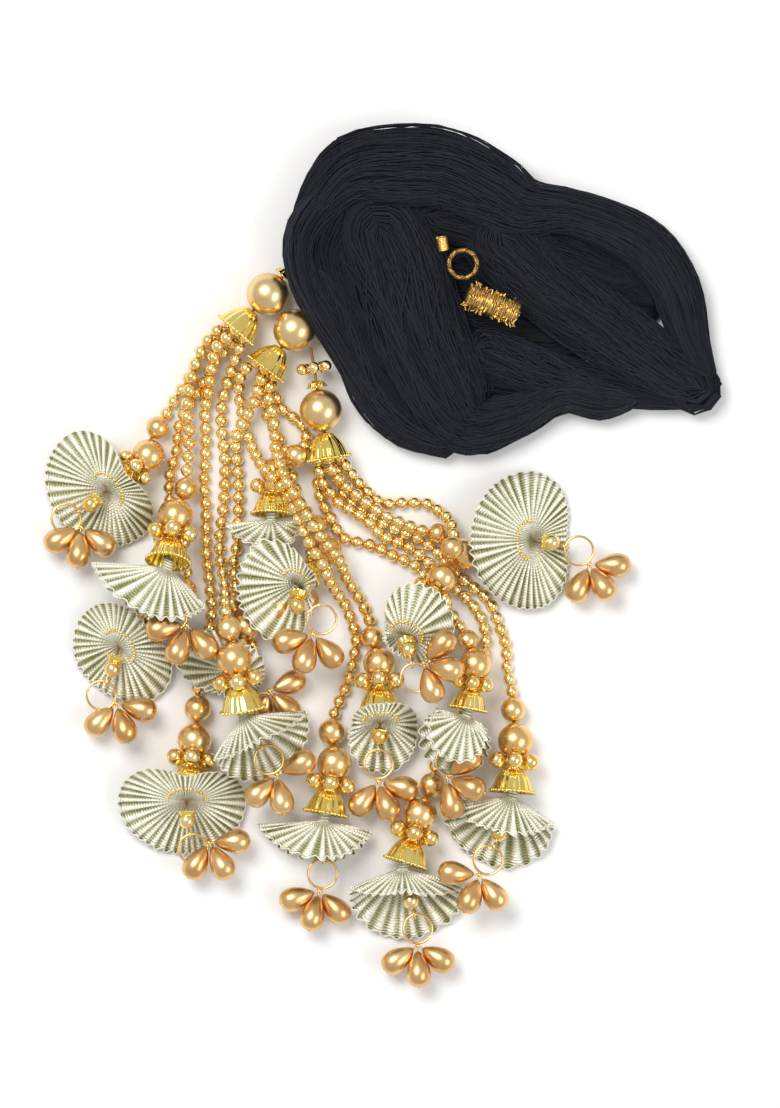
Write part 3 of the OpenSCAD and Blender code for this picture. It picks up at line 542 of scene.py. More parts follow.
def meshFrom(name, parts):
    # One mesh from parts, in metres, at the part's own place
    slots = []
    points = []
    faces = []
    indices = []
    kept = {}
    base = 0
    for partPoints, partFaces, finish, values in parts:
        partPoints = np.asarray(partPoints)
        if finish not in slots:
            slots.append(finish)
        index = slots.index(finish)
        for face in partFaces:
            faces.append(tuple(int(v) + base for v in face))
            indices.append(index)
        for key, row in values.items():
            kept.setdefault(key, []).append((base, np.asarray(row)))
        points.append(partPoints)
        base += len(partPoints)
    allPoints = (np.concatenate(points) + home) / 1000
    mesh = bpy.data.meshes.new(name)
    mesh.from_pydata(allPoints.tolist(), [], faces)
    for finish in slots:
        mesh.materials.append(finishes[finish])
    mesh.polygons.foreach_set("material_index", indices)
    mesh.polygons.foreach_set("use_smooth", [True] * len(faces))
    for key, rows in kept.items():
        if key == "cloth":
            continue
        values = np.zeros(base)
        for start, row in rows:
            values[start:start + len(row)] = row
        mesh.attributes.new(key, "FLOAT", "POINT").data.foreach_set("value", values)
    if "cloth" in kept:
        flat = np.zeros((base, 2))
        for start, row in kept["cloth"]:
            flat[start:start + len(row)] = row
        corner = np.zeros(len(mesh.loops), dtype=int)
        mesh.loops.foreach_get("vertex_index", corner)
        mesh.uv_layers.new(name="cloth").data.foreach_set("uv", flat[corner].ravel())
    mesh.update()
    return mesh


def facesOut(mesh):
    # Turns all faces outwards, and gives their area
    form = bmesh.new()
    form.from_mesh(mesh)
    bmesh.ops.recalc_face_normals(form, faces=form.faces)
    area = sum(face.calc_area() for face in form.faces)
    form.to_mesh(mesh)
    form.free()
    return area


def joined(name, meshes):
    # Several meshes into one, each keeping its materials
    target = bpy.data.meshes.new(name)
    form = bmesh.new()
    offset = 0
    for mesh in meshes:
        before = len(form.faces)
        form.from_mesh(mesh)
        form.faces.ensure_lookup_table()
        for face in form.faces[before:]:
            face.material_index += offset
            face.smooth = True
        for material in mesh.materials:
            target.materials.append(material)
        offset += len(mesh.materials)
    form.to_mesh(target)
    form.free()
    for mesh in meshes:
        bpy.data.meshes.remove(mesh)
    return target


def makePiece(name, mesh, slot, *nodes):
    piece = addObject(name, mesh)
    mesh.name = name
    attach(piece, "root")
    if nodes:
        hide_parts(*nodes)
    return piece


# Geometry Nodes: a tree with named inputs, grown on a mesh of lines or points and kept as a plain mesh

def newTree(name, lengths, counts):
    # Every value is set when something is grown; each tree first turns its lines into curves
    tree = bpy.data.node_groups.new(name, "GeometryNodeTree")
    sockets = [("Geometry", "Geometry"), *((label, "Float") for label in lengths),
               *((label, "Int") for label in counts)]
    for label, kind in sockets:
        tree.interface.new_socket(label, in_out="INPUT", socket_type="NodeSocket" + kind)
    tree.interface.new_socket("Geometry", in_out="OUTPUT", socket_type="NodeSocketGeometry")
    start = tree.nodes.new("NodeGroupInput")
    end = tree.nodes.new("NodeGroupOutput")
    curve = addNode(tree, "GeometryNodeMeshToCurve")
    link(start, "Geometry", curve, "Mesh")
    return tree, start, curve, end


def painted(source, output, finish, end):
    # The end of each branch: real mesh, smooth, with its material
    tree = source.id_data
    real = addNode(tree, "GeometryNodeRealizeInstances")
    smooth = addNode(tree, "GeometryNodeSetShadeSmooth")
    paint = addNode(tree, "GeometryNodeSetMaterial", {"Material": finishes[finish]})
    link(source, output, real, "Geometry")
    link(real, "Geometry", smooth, "Geometry")
    link(smooth, "Geometry", paint, "Geometry")
    link(paint, "Geometry", end, "Geometry")


def grown(name, mesh, tree, values):
    base = addObject(name, mesh)
    modifier = base.modifiers.new("nodes", "NODES")
    modifier.node_group = tree
    for item in tree.interface.items_tree:
        if item.item_type == "SOCKET" and item.in_out == "INPUT" and item.name in values:
            modifier[item.identifier] = values[item.name]
    view = bpy.context.evaluated_depsgraph_get()
    plain = bpy.data.meshes.new_from_object(base.evaluated_get(view), depsgraph=view)
    base.modifiers.clear()
    bpy.data.objects.remove(base)
    bpy.data.meshes.remove(mesh)
    return plain


def linesMesh(name, lines, values=None):
    # Lines of points in millimetres, each with a few values of its own
    points = []
    edges = []
    for line in lines:
        base = len(points)
        points += ((np.asarray(line) + home) / 1000).tolist()
        edges += [(base + k, base + k + 1) for k in range(len(line) - 1)]
    mesh = bpy.data.meshes.new(name)
    mesh.from_pydata(points, edges, [])
    for key, row in (values or {}).items():
        spread = np.concatenate([np.full(len(line), value) for line, value in zip(lines, row)])
        mesh.attributes.new(key, "FLOAT", "POINT").data.foreach_set("value", spread)
    return mesh


def chainTree():
    # Round beads at even spacing on a thread
    tree, start, curve, end = newTree("beadChain", ("Start", "End", "Bead radius", "Thread radius"),
                                      ("Beads", "Seed"))
    trim = addNode(tree, "GeometryNodeTrimCurve", mode="LENGTH")
    even = addNode(tree, "GeometryNodeResampleCurve", mode="COUNT")
    bead = addNode(tree, "GeometryNodeMeshUVSphere", {"Segments": 16, "Rings": 10})
    turn = addNode(tree, "FunctionNodeRandomValue", {"Max": (6.28, 6.28, 6.28)}, data_type="FLOAT_VECTOR")
    place = addNode(tree, "GeometryNodeInstanceOnPoints")
    profile = addNode(tree, "GeometryNodeCurvePrimitiveCircle", {"Resolution": 8})
    thread = addNode(tree, "GeometryNodeCurveToMesh", {"Fill Caps": True})
    both = addNode(tree, "GeometryNodeJoinGeometry")
    link(curve, "Curve", trim, "Curve")
    link(start, "Start", trim, 4)
    link(start, "End", trim, 5)
    link(trim, "Curve", even, "Curve")
    link(start, "Beads", even, "Count")
    link(start, "Bead radius", bead, "Radius")
    link(start, "Seed", turn, "Seed")
    link(even, "Curve", place, "Points")
    link(bead, "Mesh", place, "Instance")
    link(turn, "Value", place, "Rotation")
    link(curve, "Curve", thread, "Curve")
    link(start, "Thread radius", profile, "Radius")
    link(profile, "Curve", thread, "Profile Curve")
    painted(place, "Instances", "beadGold", both)
    painted(thread, "Mesh", "goldThread", both)
    link(both, "Geometry", end, "Geometry")
    return tree


def pearlTree():
    # Small pearls side by side round a rim or along an edge
    tree, start, curve, end = newTree("pearlRow", ("Pearl radius",), ("Pearls",))
    even = addNode(tree, "GeometryNodeResampleCurve", mode="COUNT")
    pearl = addNode(tree, "GeometryNodeMeshIcoSphere", {"Subdivisions": 2})
    place = addNode(tree, "GeometryNodeInstanceOnPoints")
    link(curve, "Curve", even, "Curve")
    link(start, "Pearls", even, "Count")
    link(start, "Pearl radius", pearl, "Radius")
    link(even, "Curve", place, "Points")
    link(pearl, "Mesh", place, "Instance")
    painted(place, "Instances", "capGold", end)
    return tree


def threadTree(finish):
    # Threads that follow lines, each with a slow waver of its own, and one thickness for all
    tree, start, curve, end = newTree(finish + "Lay", ("Step", "Radius", "Waver"), ("Sides", "Seed"))
    even = addNode(tree, "GeometryNodeResampleCurve", mode="LENGTH")
    noise = addNode(tree, "ShaderNodeTexNoise", {"Scale": 60, "Detail": 1}, noise_dimensions="4D")
    tint = addNode(tree, "GeometryNodeInputNamedAttribute", {"Name": "threadTint"}, data_type="FLOAT")
    spread = mathNode(tree, "MULTIPLY_ADD", 9.0)
    middle = addNode(tree, "ShaderNodeVectorMath", {1: (0.5, 0.5, 0.5)}, operation="SUBTRACT")
    size = addNode(tree, "ShaderNodeVectorMath", operation="SCALE")
    move = addNode(tree, "GeometryNodeSetPosition")
    profile = addNode(tree, "GeometryNodeCurvePrimitiveCircle")
    thread = addNode(tree, "GeometryNodeCurveToMesh", {"Fill Caps": True})
    link(curve, "Curve", even, "Curve")
    link(start, "Step", even, "Length")
    link(tint, "Attribute", spread, 0)
    link(start, "Seed", spread, 2)
    link(spread, "Value", noise, "W")
    link(noise, "Color", middle, 0)
    link(middle, "Vector", size, 0)
    link(start, "Waver", size, "Scale")
    link(size, "Vector", move, "Offset")
    link(even, "Curve", move, "Geometry")
    link(move, "Geometry", thread, "Curve")
    link(start, "Sides", profile, "Resolution")
    link(start, "Radius", profile, "Radius")
    link(profile, "Curve", thread, "Profile Curve")
    painted(thread, "Mesh", finish, end)
    return tree


trees = {"chain": chainTree(), "pearls": pearlTree(), "navy": threadTree("navyThread"),
         "zari": threadTree("zariThread"), "selvedge": threadTree("selvedge")}
print("node trees built")


def laidThreads(name, lines, tints, tree, sizes, sides, seed):
    # Threads along lines; sizes are the step, the radius and the waver in millimetres
    step, radius, waver = [size / 1000 for size in sizes]
    return grown(name, linesMesh(name, lines, {"threadTint": tints}), trees[tree],
                 {"Step": step, "Radius": radius, "Waver": waver, "Sides": sides, "Seed": seed})


# Caps, domes and bead rings, shared by heads and tassels

bellOutline = [[0.0, 0.0], [0.26, 0.0], [0.36, 0.04], [0.46, 0.13], [0.58, 0.23], [0.7, 0.36], [0.8, 0.5],
               [0.88, 0.66], [0.95, 0.84], [1.0, 0.95], [1.03, 1.0]]


def bellCap(place, direction, size, hole=0.0):
    # Fluted bell: outside, wall, inside, with its milled rim
    r = capSizes["radius"] * size
    length = capSizes["length"] * size
    outside = [[max(p[0] * r, hole, pole), p[1] * length] for p in bellOutline]
    top = length * capSizes["crown"]
    inside = [[max(p[0] - capSizes["wall"], hole, pole), max(p[1], top)] for p in reversed(outside[4:])]
    rim = [[outside[-1][0] - 0.15, length + 0.3], [outside[-1][0] - 0.5, length + 0.1]]
    rows = outside + rim + inside + [[max(hole, pole), top]]
    parts = [lathe(rows, place, direction, "capGold", 84, capSizes["flutes"], capSizes["fluteDepth"])]
    mouth = np.array(place) + unit(np.array(direction)) * (length - 0.1)
    parts.append(hoop(mouth, direction, r * capSizes["rimOut"], capSizes["rimWire"], "capGold", 56, 8))
    return parts


def rimPearls(place, direction, size):
    # Pearled rim grown on a circle at the cap's mouth
    r = capSizes["radius"] * size * capSizes["rimOut"] + capSizes["pearlsOut"]
    count = int(capSizes["rimPearls"] * size)
    circle = [[*circlePoint(r, 2 * math.pi * k / 60), capSizes["length"] * size] for k in range(60)]
    circle.append(circle[0])
    mesh = linesMesh("rim", [turned(circle, place, direction)])
    values = {"Pearls": count + 1, "Pearl radius": capSizes["rimPearl"] / 1000}
    return grown("rim", mesh, trees["pearls"], values)


def domeCap(place, direction, r, h):
    # Shallow cap with petals pressed into its edge
    outline = [[pole, 0.0], [r * 1.0, 0.0], [r * 1.13, 0.1], [r * 1.16, 0.3], [r * 1.02, 0.5],
               [r * 0.9, 0.6 * h], [r * 0.7, 0.8 * h], [r * 0.4, 0.95 * h], [r * 0.14, h], [pole, h]]
    return lathe(outline, place, direction, "capGold", 48, 8, 0.09)


def beadRing(hub, azimuth, tilt, size):
    # Five beads round the thread, each on a short wire
    way = heading(azimuth, tilt)
    parts = [ball(hub, beadSizes["ringHub"], "satinGold", way, 14, 8)]
    up = -heading(azimuth, tilt - 90)
    side = np.cross(way, up)
    for k in range(5):
        a = math.radians(k * 72)
        spot = hub + (up * math.cos(a) + side * math.sin(a)) * beadSizes["ringRadius"] * size
        parts.append(ball(spot, beadSizes["ring"] / 2 * size, "beadGold", way, 20, 12))
        parts.append(solidRod(hub, hub + (spot - hub) * 0.6, beadSizes["ringWire"], "wireGold", 8))
    return parts


# Heads: neck, champagne head bead, bell cap

headSizes = {"domeRadius": 3.2, "domeHeight": 2.6, "neckClear": 0.5, "neck": 3.8, "longNeck": 14.0,
             "ringBack": 7.2, "ringSize": 0.7, "knot": 1.2, "knotIn": 5.6, "thread": 0.5}


def makeHead(head):
    letter = "abc"[head]
    side = letter.upper()
    azimuth = heads[head][1]
    way = heading(azimuth)
    beadSide = beadSizes["head"] / 2
    knot = headPlace(head, headMouth - headSizes["knotIn"])
    dome = headPlace(head, -beadSide - headSizes["neckClear"])
    parts = [domeCap(dome, -way, headSizes["domeRadius"], headSizes["domeHeight"]),
             ball(knot, headSizes["knot"], "goldThread", way, 20, 12)]
    if heads[head][2]:
        hub = headPlace(head, -beadSide - headSizes["ringBack"])
        parts += beadRing(hub, azimuth, 0, headSizes["ringSize"])
        back = headPlace(head, -beadSide - headSizes["longNeck"])
    else:
        back = headPlace(head, -beadSide - headSizes["neck"])
    parts.append(solidRod(back, knot, headSizes["thread"], "goldThread"))
    makePiece(f"neck{side}", meshFrom("neck", parts), "polished_gold", f"neck_{letter}")
    bead = [ball(heads[head][0], beadSide, "champagne", way, 64, 44, 1.0, 0.13)]
    makePiece(f"headBead{side}", meshFrom("headBead", bead), "champagne_bead", f"head_bead_{letter}")
    apex = headPlace(head, headApex)
    cap = meshFrom("cap", bellCap(apex, way, 1.0, 0.9))
    cap = joined("headCap", [cap, rimPearls(apex, way, 1.0)])
    makePiece(f"headCap{side}", cap, "polished_gold", f"head_cap_{letter}")


for head in range(3):
    makeHead(head)
print("heads made")


# Tassel strands: chain, medium and large bead, bead ring, bell cap, inner cap, inner bead and eye

# Thread, knots, wires and small caps of a tassel
strandSizes = {"thread": 0.5, "knot": 1.0, "chainGap": 0.2, "startIn": 4.0, "startRadius": 1.9,
               "eyeWire": 0.36, "pinWire": 0.28, "innerCapAhead": 3.8, "innerCapRadius": 3.0,
               "innerCapHeight": 2.2}
crownOutline = [[pole, -0.5], [1.6, -0.4], [2.6, 0.1], [3.1, 0.9], [3.3, 1.3], [3.0, 1.5], [pole, 1.2]]


def makeStrand(i):
    row = routes[i]
    t = tails[i]
    start = [slotPlace(row, headMouth - strandSizes["startIn"], strandSizes["startRadius"]),
             slotPlace(row, headMouth, slotRadius)]
    line = smoothLine([*start, *row[2], t[0]])
    total = runLengths(line)[-1]
    small = beadSizes["small"] / 2
    chain = total - t[1] / 2 - small - strandSizes["chainGap"] - beadSizes["bareStart"]
    count = math.floor(chain / beadSizes["pitch"])
    thread = strandSizes["thread"]
    values = {"Start": beadSizes["bareStart"] / 1000, "End": (beadSizes["bareStart"] + chain) / 1000,
              "Beads": count + 1, "Bead radius": small / 1000, "Thread radius": thread / 1000, "Seed": i + 1}
    chainMesh = grown("chain", linesMesh("path", [line]), trees["chain"], values)
    way = heading(t[4], t[5])
    hub = tailPlace(i, ringDistance(t))
    tip = tailPlace(i, apexDistance(t))
    gather = gatherPlace(i)
    bead = beadPlace(i)
    eye = eyePlace(i)
    out = heading(rings[i][3])
    inner = unit(bead - gather)
    innerCap = gather + inner * strandSizes["innerCapAhead"]
    crown = lathe([[r * t[6], h * t[6]] for r, h in crownOutline], tip, way, "capGold", 48, 6, 0.16)
    parts = [
        ball(start[0], strandSizes["knot"], "goldThread", way, 16, 10),
        ball(t[0], t[1] / 2, "satinGold", unit(line[-1] - line[-2]), 32, 22),
        ball(t[2], t[3] / 2, "satinGold", unit(np.array(t[2]) - np.array(t[0])), 44, 30, 1.0, 0.1),
        solidRod(t[0], hub, thread, "goldThread"),
        *beadRing(hub, t[4], t[5], t[6]),
        *bellCap(tip, way, t[6]),
        crown,
        solidRod(hub, gather, thread, "goldThread"),
        ball(gather, strandSizes["knot"], "goldThread", way, 16, 10),
        domeCap(innerCap, inner, strandSizes["innerCapRadius"], strandSizes["innerCapHeight"]),
        solidRod(gather, bead, thread, "goldThread"),
        ball(bead, beadSizes["inner"] / 2, "beadGold", inner, 28, 18),
        solidRod(bead, eye - out * dropSizes["eye"], strandSizes["pinWire"], "wireGold", 8),
        hoop(eye, np.cross(out, [0, 0, 1]), dropSizes["eye"], strandSizes["eyeWire"], "wireGold", 28, 10)
    ]
    solid = meshFrom("strandSolid", parts)
    strand = joined("strand", [solid, chainMesh, rimPearls(tip, way, t[6])])
    makePiece(f"strand{i + 1}", strand, "gold_bead", f"strand_{i + 1}")


for i in range(len(routes)):
    makeStrand(i)
print("strands made")


# Drops: jump ring, pins and three satin drops

dropOutline = [[0.2, 0.0], [0.31, 0.05], [0.45, 0.12], [0.61, 0.21], [0.74, 0.3], [0.86, 0.4], [0.95, 0.5],
               [1.0, 0.61], [0.985, 0.71], [0.92, 0.81], [0.8, 0.89], [0.62, 0.95], [0.38, 0.99], [0.14, 1.0]]


def makeDrops(i):
    r = rings[i]
    pin = pinPlace(i)
    half = dropSizes["width"] / 2
    length = dropSizes["length"]
    stem = dropSizes["reach"] - length / 2
    parts = [hoop(jumpPlace(i), (0, 0, 1), dropSizes["jumpRadius"], dropSizes["wire"], "wireGold", 56, 10)]
    parts.append(ball(pin, dropSizes["pin"], "wireGold", (0, 0, 1), 20, 12))
    for k, azimuth in enumerate(r[6]):
        lift = dropSizes["middleLift"] if k == 1 else 0
        away = heading(azimuth, lift - r[7])
        outline = [[pole, 0.5]] + [[p[0] * half, p[1] * length] for p in dropOutline] + [[pole, length]]
        wire = dropSizes["loopWire"]
        foot = pin + away * stem
        parts += [
            solidRod(pin + away * 0.5, pin + away * (stem + 0.6), dropSizes["stemWire"], "wireGold", 8),
            hoop(pin + away * 1.1, np.cross(away, [0, 0, 1]), 0.8, wire, "wireGold", 20, 8),
            hoop(pin + away * (stem + 0.15), away, 0.62, wire, "wireGold", 20, 8),
            lathe(outline, foot, away, "roseGold", 32),
            # Dark rod in the top of each drop: painted shade in its hole
            solidRod(foot - away * 0.03, foot + away * 0.5, dropSizes["holeRadius"], "paintedHoleShade", 14),
            ball(foot + away * (length - 0.1), dropSizes["tip"], "wireGold", away, 14, 8, 0.7)
        ]
    makePiece(f"drops{i + 1}", meshFrom("drops", parts), "rose_gold", f"drops_{i + 1}")


for i in range(len(rings)):
    makeDrops(i)
print("drops made")


# Fans: one pleated strip of tissue each, gathered round the thread and spread to its scalloped edge

def blendFour(four, phi):
    c = math.cos(phi)
    s = math.sin(phi)
    return (four[1] if c > 0 else four[3]) * c * c + (four[2] if s > 0 else four[0]) * s * s


def fanPlace(f, g, turn, share):
    # Place of the middle of the cloth: turn goes once round, share runs from the gathering to the edge
    phi = 2 * math.pi * turn - math.pi / 2
    reach = blendFour(f[2], phi)
    knee = min(fanSizes["knee"], reach / 2)
    kneeZ = f[3][0] + (f[3][1] - f[3][0]) * (1 + math.sin(phi)) / 2
    startZ = g[2] + fanSizes["gather"] * math.sin(phi)
    edgeZ = blendFour(f[4], phi)
    kneeShare = fanSizes["kneeShare"]
    if share < kneeShare:
        u = share / kneeShare
        r = knee * u
        z = startZ + (kneeZ - startZ) * math.sin(u * math.pi / 2)
    else:
        u = (share - kneeShare) / (1 - kneeShare)
        r = knee + (reach - knee) * u
        z = kneeZ + (edgeZ - kneeZ) * (0.35 * u + 0.65 * u * u)
    spread = phi + math.pi / 2 if f[1] >= 180 else math.radians(f[1]) * math.cos(phi)
    side = heading(f[0] + 90) * fanSizes["gather"] * math.cos(phi)
    out = heading(f[0] + math.degrees(spread)) * r
    return np.array([g[0] + side[0] + out[0], g[1] + side[1] + out[1], max(1.0, z)])


def fanPhase(i, turn, pleats):
    # Uneven pleats: their phase runs ahead and back a little on the way round
    seed = fanSizes["seed"] + 7 * i
    phase = turn * pleats
    for ahead, times, share in fanUneven:
        phase += ahead * math.sin(2 * math.pi * turn * times + share * seed)
    return phase


def fanGrid(i):
    # Points of the cloth's middle, with the pleats across it, and the values kept with them
    f = fans[i]
    g = gatherPlace(i)
    rim = runLengths(np.array([fanPlace(f, g, k / 90, 1.0) for k in range(91)]))[-1]
    pleats = max(24, round(rim / fanSizes["pleatPitch"]))
    steps = pleats * fanSizes["stepsPerPleat"]
    rows = fanSizes["rows"]
    middle = np.zeros((rows + 1, steps, 3))
    for row in range(rows + 1):
        for k in range(steps):
            middle[row, k] = fanPlace(f, g, k / steps, row / rows)
            frill = fanSizes["frill"] * (row / rows) ** 3 * (0.5 if f[1] >= 180 else 1.0)
            wave = fanPhase(i, k / steps, pleats) / fanSizes["pleatsPerFrill"]
            middle[row, k, 2] += frill * math.sin(2 * math.pi * wave)
    around = np.roll(middle, -1, axis=1) - np.roll(middle, 1, axis=1)
    outward = np.gradient(middle, axis=0)
    normal = np.cross(around, outward)
    normal /= np.maximum(np.linalg.norm(normal, axis=2, keepdims=True), 1e-9)
    waves = np.zeros((rows + 1, steps))
    for k in range(steps):
        turn = k / steps
        phase = fanPhase(i, turn, pleats)
        lean = math.sin(2 * math.pi * phase)
        sharp = math.copysign(abs(lean) ** 0.8, lean)
        strength = 1 + 0.25 * math.sin(2 * math.pi * turn * 5 + i)
        for row in range(rows + 1):
            waves[row, k] = sharp * strength * (0.16 + 0.84 * min(1.0, (row / rows) ** 0.8 * 1.25))
    height = 0.5 * fanSizes["pleatHeight"]
    edgeRow = np.linspace(0, 1, rows + 1)[:, None] ** 6
    scallop = fanSizes["scallop"] * waves * edgeRow
    lengthWay = outward / np.maximum(np.linalg.norm(outward, axis=2, keepdims=True), 1e-9)
    cloth = middle + normal * (waves * height)[:, :, None] + lengthWay * scallop[:, :, None]
    if f[1] < 180:
        cloth, normal, waves = withNeck(i, cloth, normal, waves)
    return cloth, normal, waves


def withNeck(i, cloth, normal, waves):
    # The gathered start of a side fan runs back into its bell cap
    g = np.array(gatherPlace(i))
    back = unit(np.array(tailPlace(i, apexDistance(tails[i]))) - g)
    rows = [cloth[0] + back * far for far in fanSizes["neck"]]
    count = len(rows)
    cloth = np.concatenate([np.array(rows), cloth])
    normal = np.concatenate([np.repeat(normal[:1], count, axis=0), normal])
    waves = np.concatenate([np.repeat(waves[:1], count, axis=0), waves])
    return cloth, normal, waves


def makeFan(i):
    cloth, normal, waves = fanGrid(i)
    rows, steps = waves.shape
    half = fanSizes["thickness"] / 2
    cloth[:, :, 2] = np.maximum(cloth[:, :, 2], half + 0.35)
    upper = cloth + normal * half
    lower = cloth - normal * half
    points = np.concatenate([upper.reshape(-1, 3), lower.reshape(-1, 3)])
    points[:, 2] = np.maximum(points[:, 2], 0.1)
    wall = rows * steps
    faces = ringFaces(rows, steps)
    faces += [tuple(wall + v for v in reversed(face)) for face in faces]
    last = (rows - 1) * steps
    for k in range(steps):
        n = (k + 1) % steps
        faces.append((n, k, wall + k, wall + n))
        faces.append((last + k, last + n, wall + last + n, wall + last + k))
    # Crest value, 1 on the pleats' crests and 0 in their hollows, for the tissue's painted highlight and
    # painted shade
    ridgeLightAndShade = np.clip(0.5 + 0.5 * waves, 0, 1)
    values = np.concatenate([ridgeLightAndShade.ravel(), 1 - ridgeLightAndShade.ravel()])
    lengths = np.linalg.norm(np.diff(cloth, axis=0), axis=2)
    run = np.cumsum(np.concatenate([np.zeros((1, steps)), lengths]), axis=0)
    across = np.tile(np.arange(steps) * 0.5, (rows, 1))
    flat = np.stack([across.ravel(), run.ravel()], axis=1)
    parts = [(points, faces, "tissue", {"ridgeLightAndShade": values, "cloth": np.concatenate([flat, flat])})]
    solid = meshFrom("fanCloth", parts)
    area = facesOut(solid) / 2
    edge = [*cloth[-1], cloth[-1][0]]
    hem = laidThreads("hem", [edge], [0.3], "selvedge", (0.6, fanSizes["selvedge"], 0.3), 5, i)
    fan = makePiece(f"fan{i + 1}", solid, "tissue", f"fan_{i + 1}")
    trim = joined("selvedge", [hem, gatherPearls(i)] if fans[i][1] >= 180 else [hem])
    trimPiece = makePiece(f"selvedge{i + 1}", trim, "tissue")
    return area


def gatherPearls(i):
    # Gold seed pearls on half of the gathering
    f = fans[i]
    g = gatherPlace(i)
    line = [fanPlace(f, g, 0.25 + k / 80, fanSizes["pearlShare"]) for k in range(41)]
    centre = np.mean(line, axis=0)
    line = [p + unit(p - centre) * 0.1 + np.array([0, 0, 0.75]) for p in line]
    count = int(runLengths(np.array(line))[-1] / fanSizes["pearlPitch"])
    return grown("pearls", linesMesh("gathering", [line]), trees["pearls"],
                 {"Pearls": max(count, 6), "Pearl radius": fanSizes["pearl"] / 1000})


flatSizes = {}
for i in range(len(fans)):
    flatSizes[f"fan_{i + 1}"] = round(makeFan(i) * 1e4, 1)
print("fans made, flat areas in cm2:", json.dumps(flatSizes))


# Hank: dark bundles, and hundreds of single threads laid over them

# Threads and loose threads: step between points, radius, waver
hankSizes = {"thread": (5.2, 0.34, 1.3), "loose": (3.5, 0.24, 2.4), "perWidth": 7.0, "layerDepth": 1.9,
             "seed": 11, "looseThreads": 120, "arcPoints": 4, "bodyInside": 1.1, "bodyBelow": 1.2,
             "sway": 0.16, "looseSway": 0.4}

# Thinner bundles that only the looks have: the first two lie on top, the others fill gaps and are darkened
# there as painted shade
bridges = [
  [[-20, 117, 13, 6, 3.5], [-27, 108, 13.4, 5.5, 3], [-28.6, 98, 13.6, 5, 2.6], [-25.5, 87, 13, 5, 3],
    [-20, 77, 11.5, 5, 4], [-13, 66, 9, 5, 4.5], [-7, 56, 7, 5, 4.5]],
  [[90, 60, 6, 5, 4], [97, 57, 6.5, 7.5, 5], [103, 55, 6.8, 9, 5.6]],
  [[-14, 112, 9, 9, 4], [-19, 100, 9, 8, 4], [-16, 88, 8.4, 7.5, 4], [-9, 74, 8, 7, 4], [1, 58, 7, 7, 4],
    [14, 45, 6, 6, 4]],
  [[48, 108, 6, 9, 5], [66, 99, 6, 8, 4.6], [79, 91, 5.6, 6, 4.2], [87, 84.5, 5, 4, 4]],
  [[36, 62, 5, 10, 4.6], [56, 58, 5, 9, 4.6], [74, 55, 5, 6.5, 4.4], [90, 52, 5, 4.5, 4],
    [100, 51, 5, 3.4, 3.6]],
  [[16, 112, 8, 8, 5], [32, 108, 8.6, 8, 5], [50, 101, 9, 7, 5], [66, 95, 8.4, 6, 5], [80, 90, 7, 4.5, 4.6]]
]


def bundleFrames(bundle, steps=4):
    # Smooth middle line of a bundle, its side direction, half width and half height at each point
    line = smoothLine([[s[0], s[1], s[2]] for s in bundle], steps)
    sizes = smoothLine([[s[3], s[4], 0] for s in bundle], steps)
    way = np.gradient(line, axis=0)
    side = np.stack([-way[:, 1], way[:, 0], np.zeros(len(way))], axis=1)
    side /= np.maximum(np.linalg.norm(side, axis=1, keepdims=True), 1e-9)
    return line, side, np.maximum(sizes[:, 0], 1.0), np.maximum(sizes[:, 1], 1.0)


def outOfEnd(line, end):
    # Index of a line's end point, and the level way out of that end
    k = 0 if end == 0 else len(line) - 1
    forward = line[k] - line[1 if end == 0 else k - 1]
    forward[2] = 0
    return k, unit(forward)


def turnBack(frames, end, place, arcs):
    # Quarter of the turn that a thread makes round the end of its bundle
    line, side, wide, _ = frames
    k, forward = outOfEnd(line, end)
    points = []
    for j in range(1, arcs + 1):
        t = math.pi / 2 * j / arcs
        reach = abs(place) * wide[k] * math.sin(t)
        points.append(line[k] + side[k] * (place * wide[k] * math.cos(t)) + forward * reach)
    return points[::-1] if end == 0 else points


def threadLine(frames, across, layer, chance, drift, spread=1.0):
    # One thread on the upper side of a bundle: across runs from edge to edge, layer is its depth
    line, side, wide, tall = frames
    share = np.linspace(0, 1, len(line))
    sway = drift * np.sin(2 * math.pi * (share * chance.uniform(0.5, 1.6) + chance.random()))
    place = np.clip(across + sway, -spread, spread)
    rise = np.sqrt(np.clip(1 - place ** 2, 0, 1))
    points = line + side * (place * (wide - 0.3))[:, None]
    points[:, 2] = line[:, 2] + rise * (tall - 0.2) - layer
    first = turnBack(frames, 0, place[0], hankSizes["arcPoints"])
    last = turnBack(frames, 1, place[-1], hankSizes["arcPoints"])
    for turn, height in [(first, points[0, 2]), (last, points[-1, 2])]:
        for point in turn:
            point[2] = height
    whole = np.array([*first, *points, *last])
    whole[:, 2] = np.maximum(whole[:, 2], 0.6)
    return whole


def bundleBody(bundle):
    # Dark solid under the threads, a little smaller than the bundle, with rounded ends; its darkness is
    # painted shade in the gaps between the threads
    line, side, wide, tall = bundleFrames(bundle, 3)
    wide = wide - hankSizes["bodyInside"]
    tall = tall - hankSizes["bodyBelow"]
    ring = 16
    rows = []
    for end in (0, 1):
        k, forward = outOfEnd(line, end)
        turns = [(line[k] + forward * wide[k] * math.sin(t), side[k], wide[k] * math.cos(t),
                  tall[k] * (0.3 + 0.7 * math.cos(t))) for t in (0.5, 0.95, 1.35)]
        rows.append(turns[::-1] if end == 0 else turns)
    middle = [(line[k], side[k], wide[k], tall[k]) for k in range(len(line))]
    sections = [*rows[0], *middle, *rows[1]]
    points = []
    faces = ringFaces(len(sections), ring)
    for place, across, halfWidth, halfHeight in sections:
        for s in range(ring):
            a = 2 * math.pi * s / ring
            p = place + across * halfWidth * math.cos(a)
            points.append([p[0], p[1], max(place[2] + halfHeight * math.sin(a), 0.15)])
    faces.append(tuple(range(ring - 1, -1, -1)))
    faces.append(tuple(range((len(sections) - 1) * ring, len(sections) * ring)))
    return np.array(points), faces, "navyThread", {"threadTint": np.full(len(points), 0.0)}


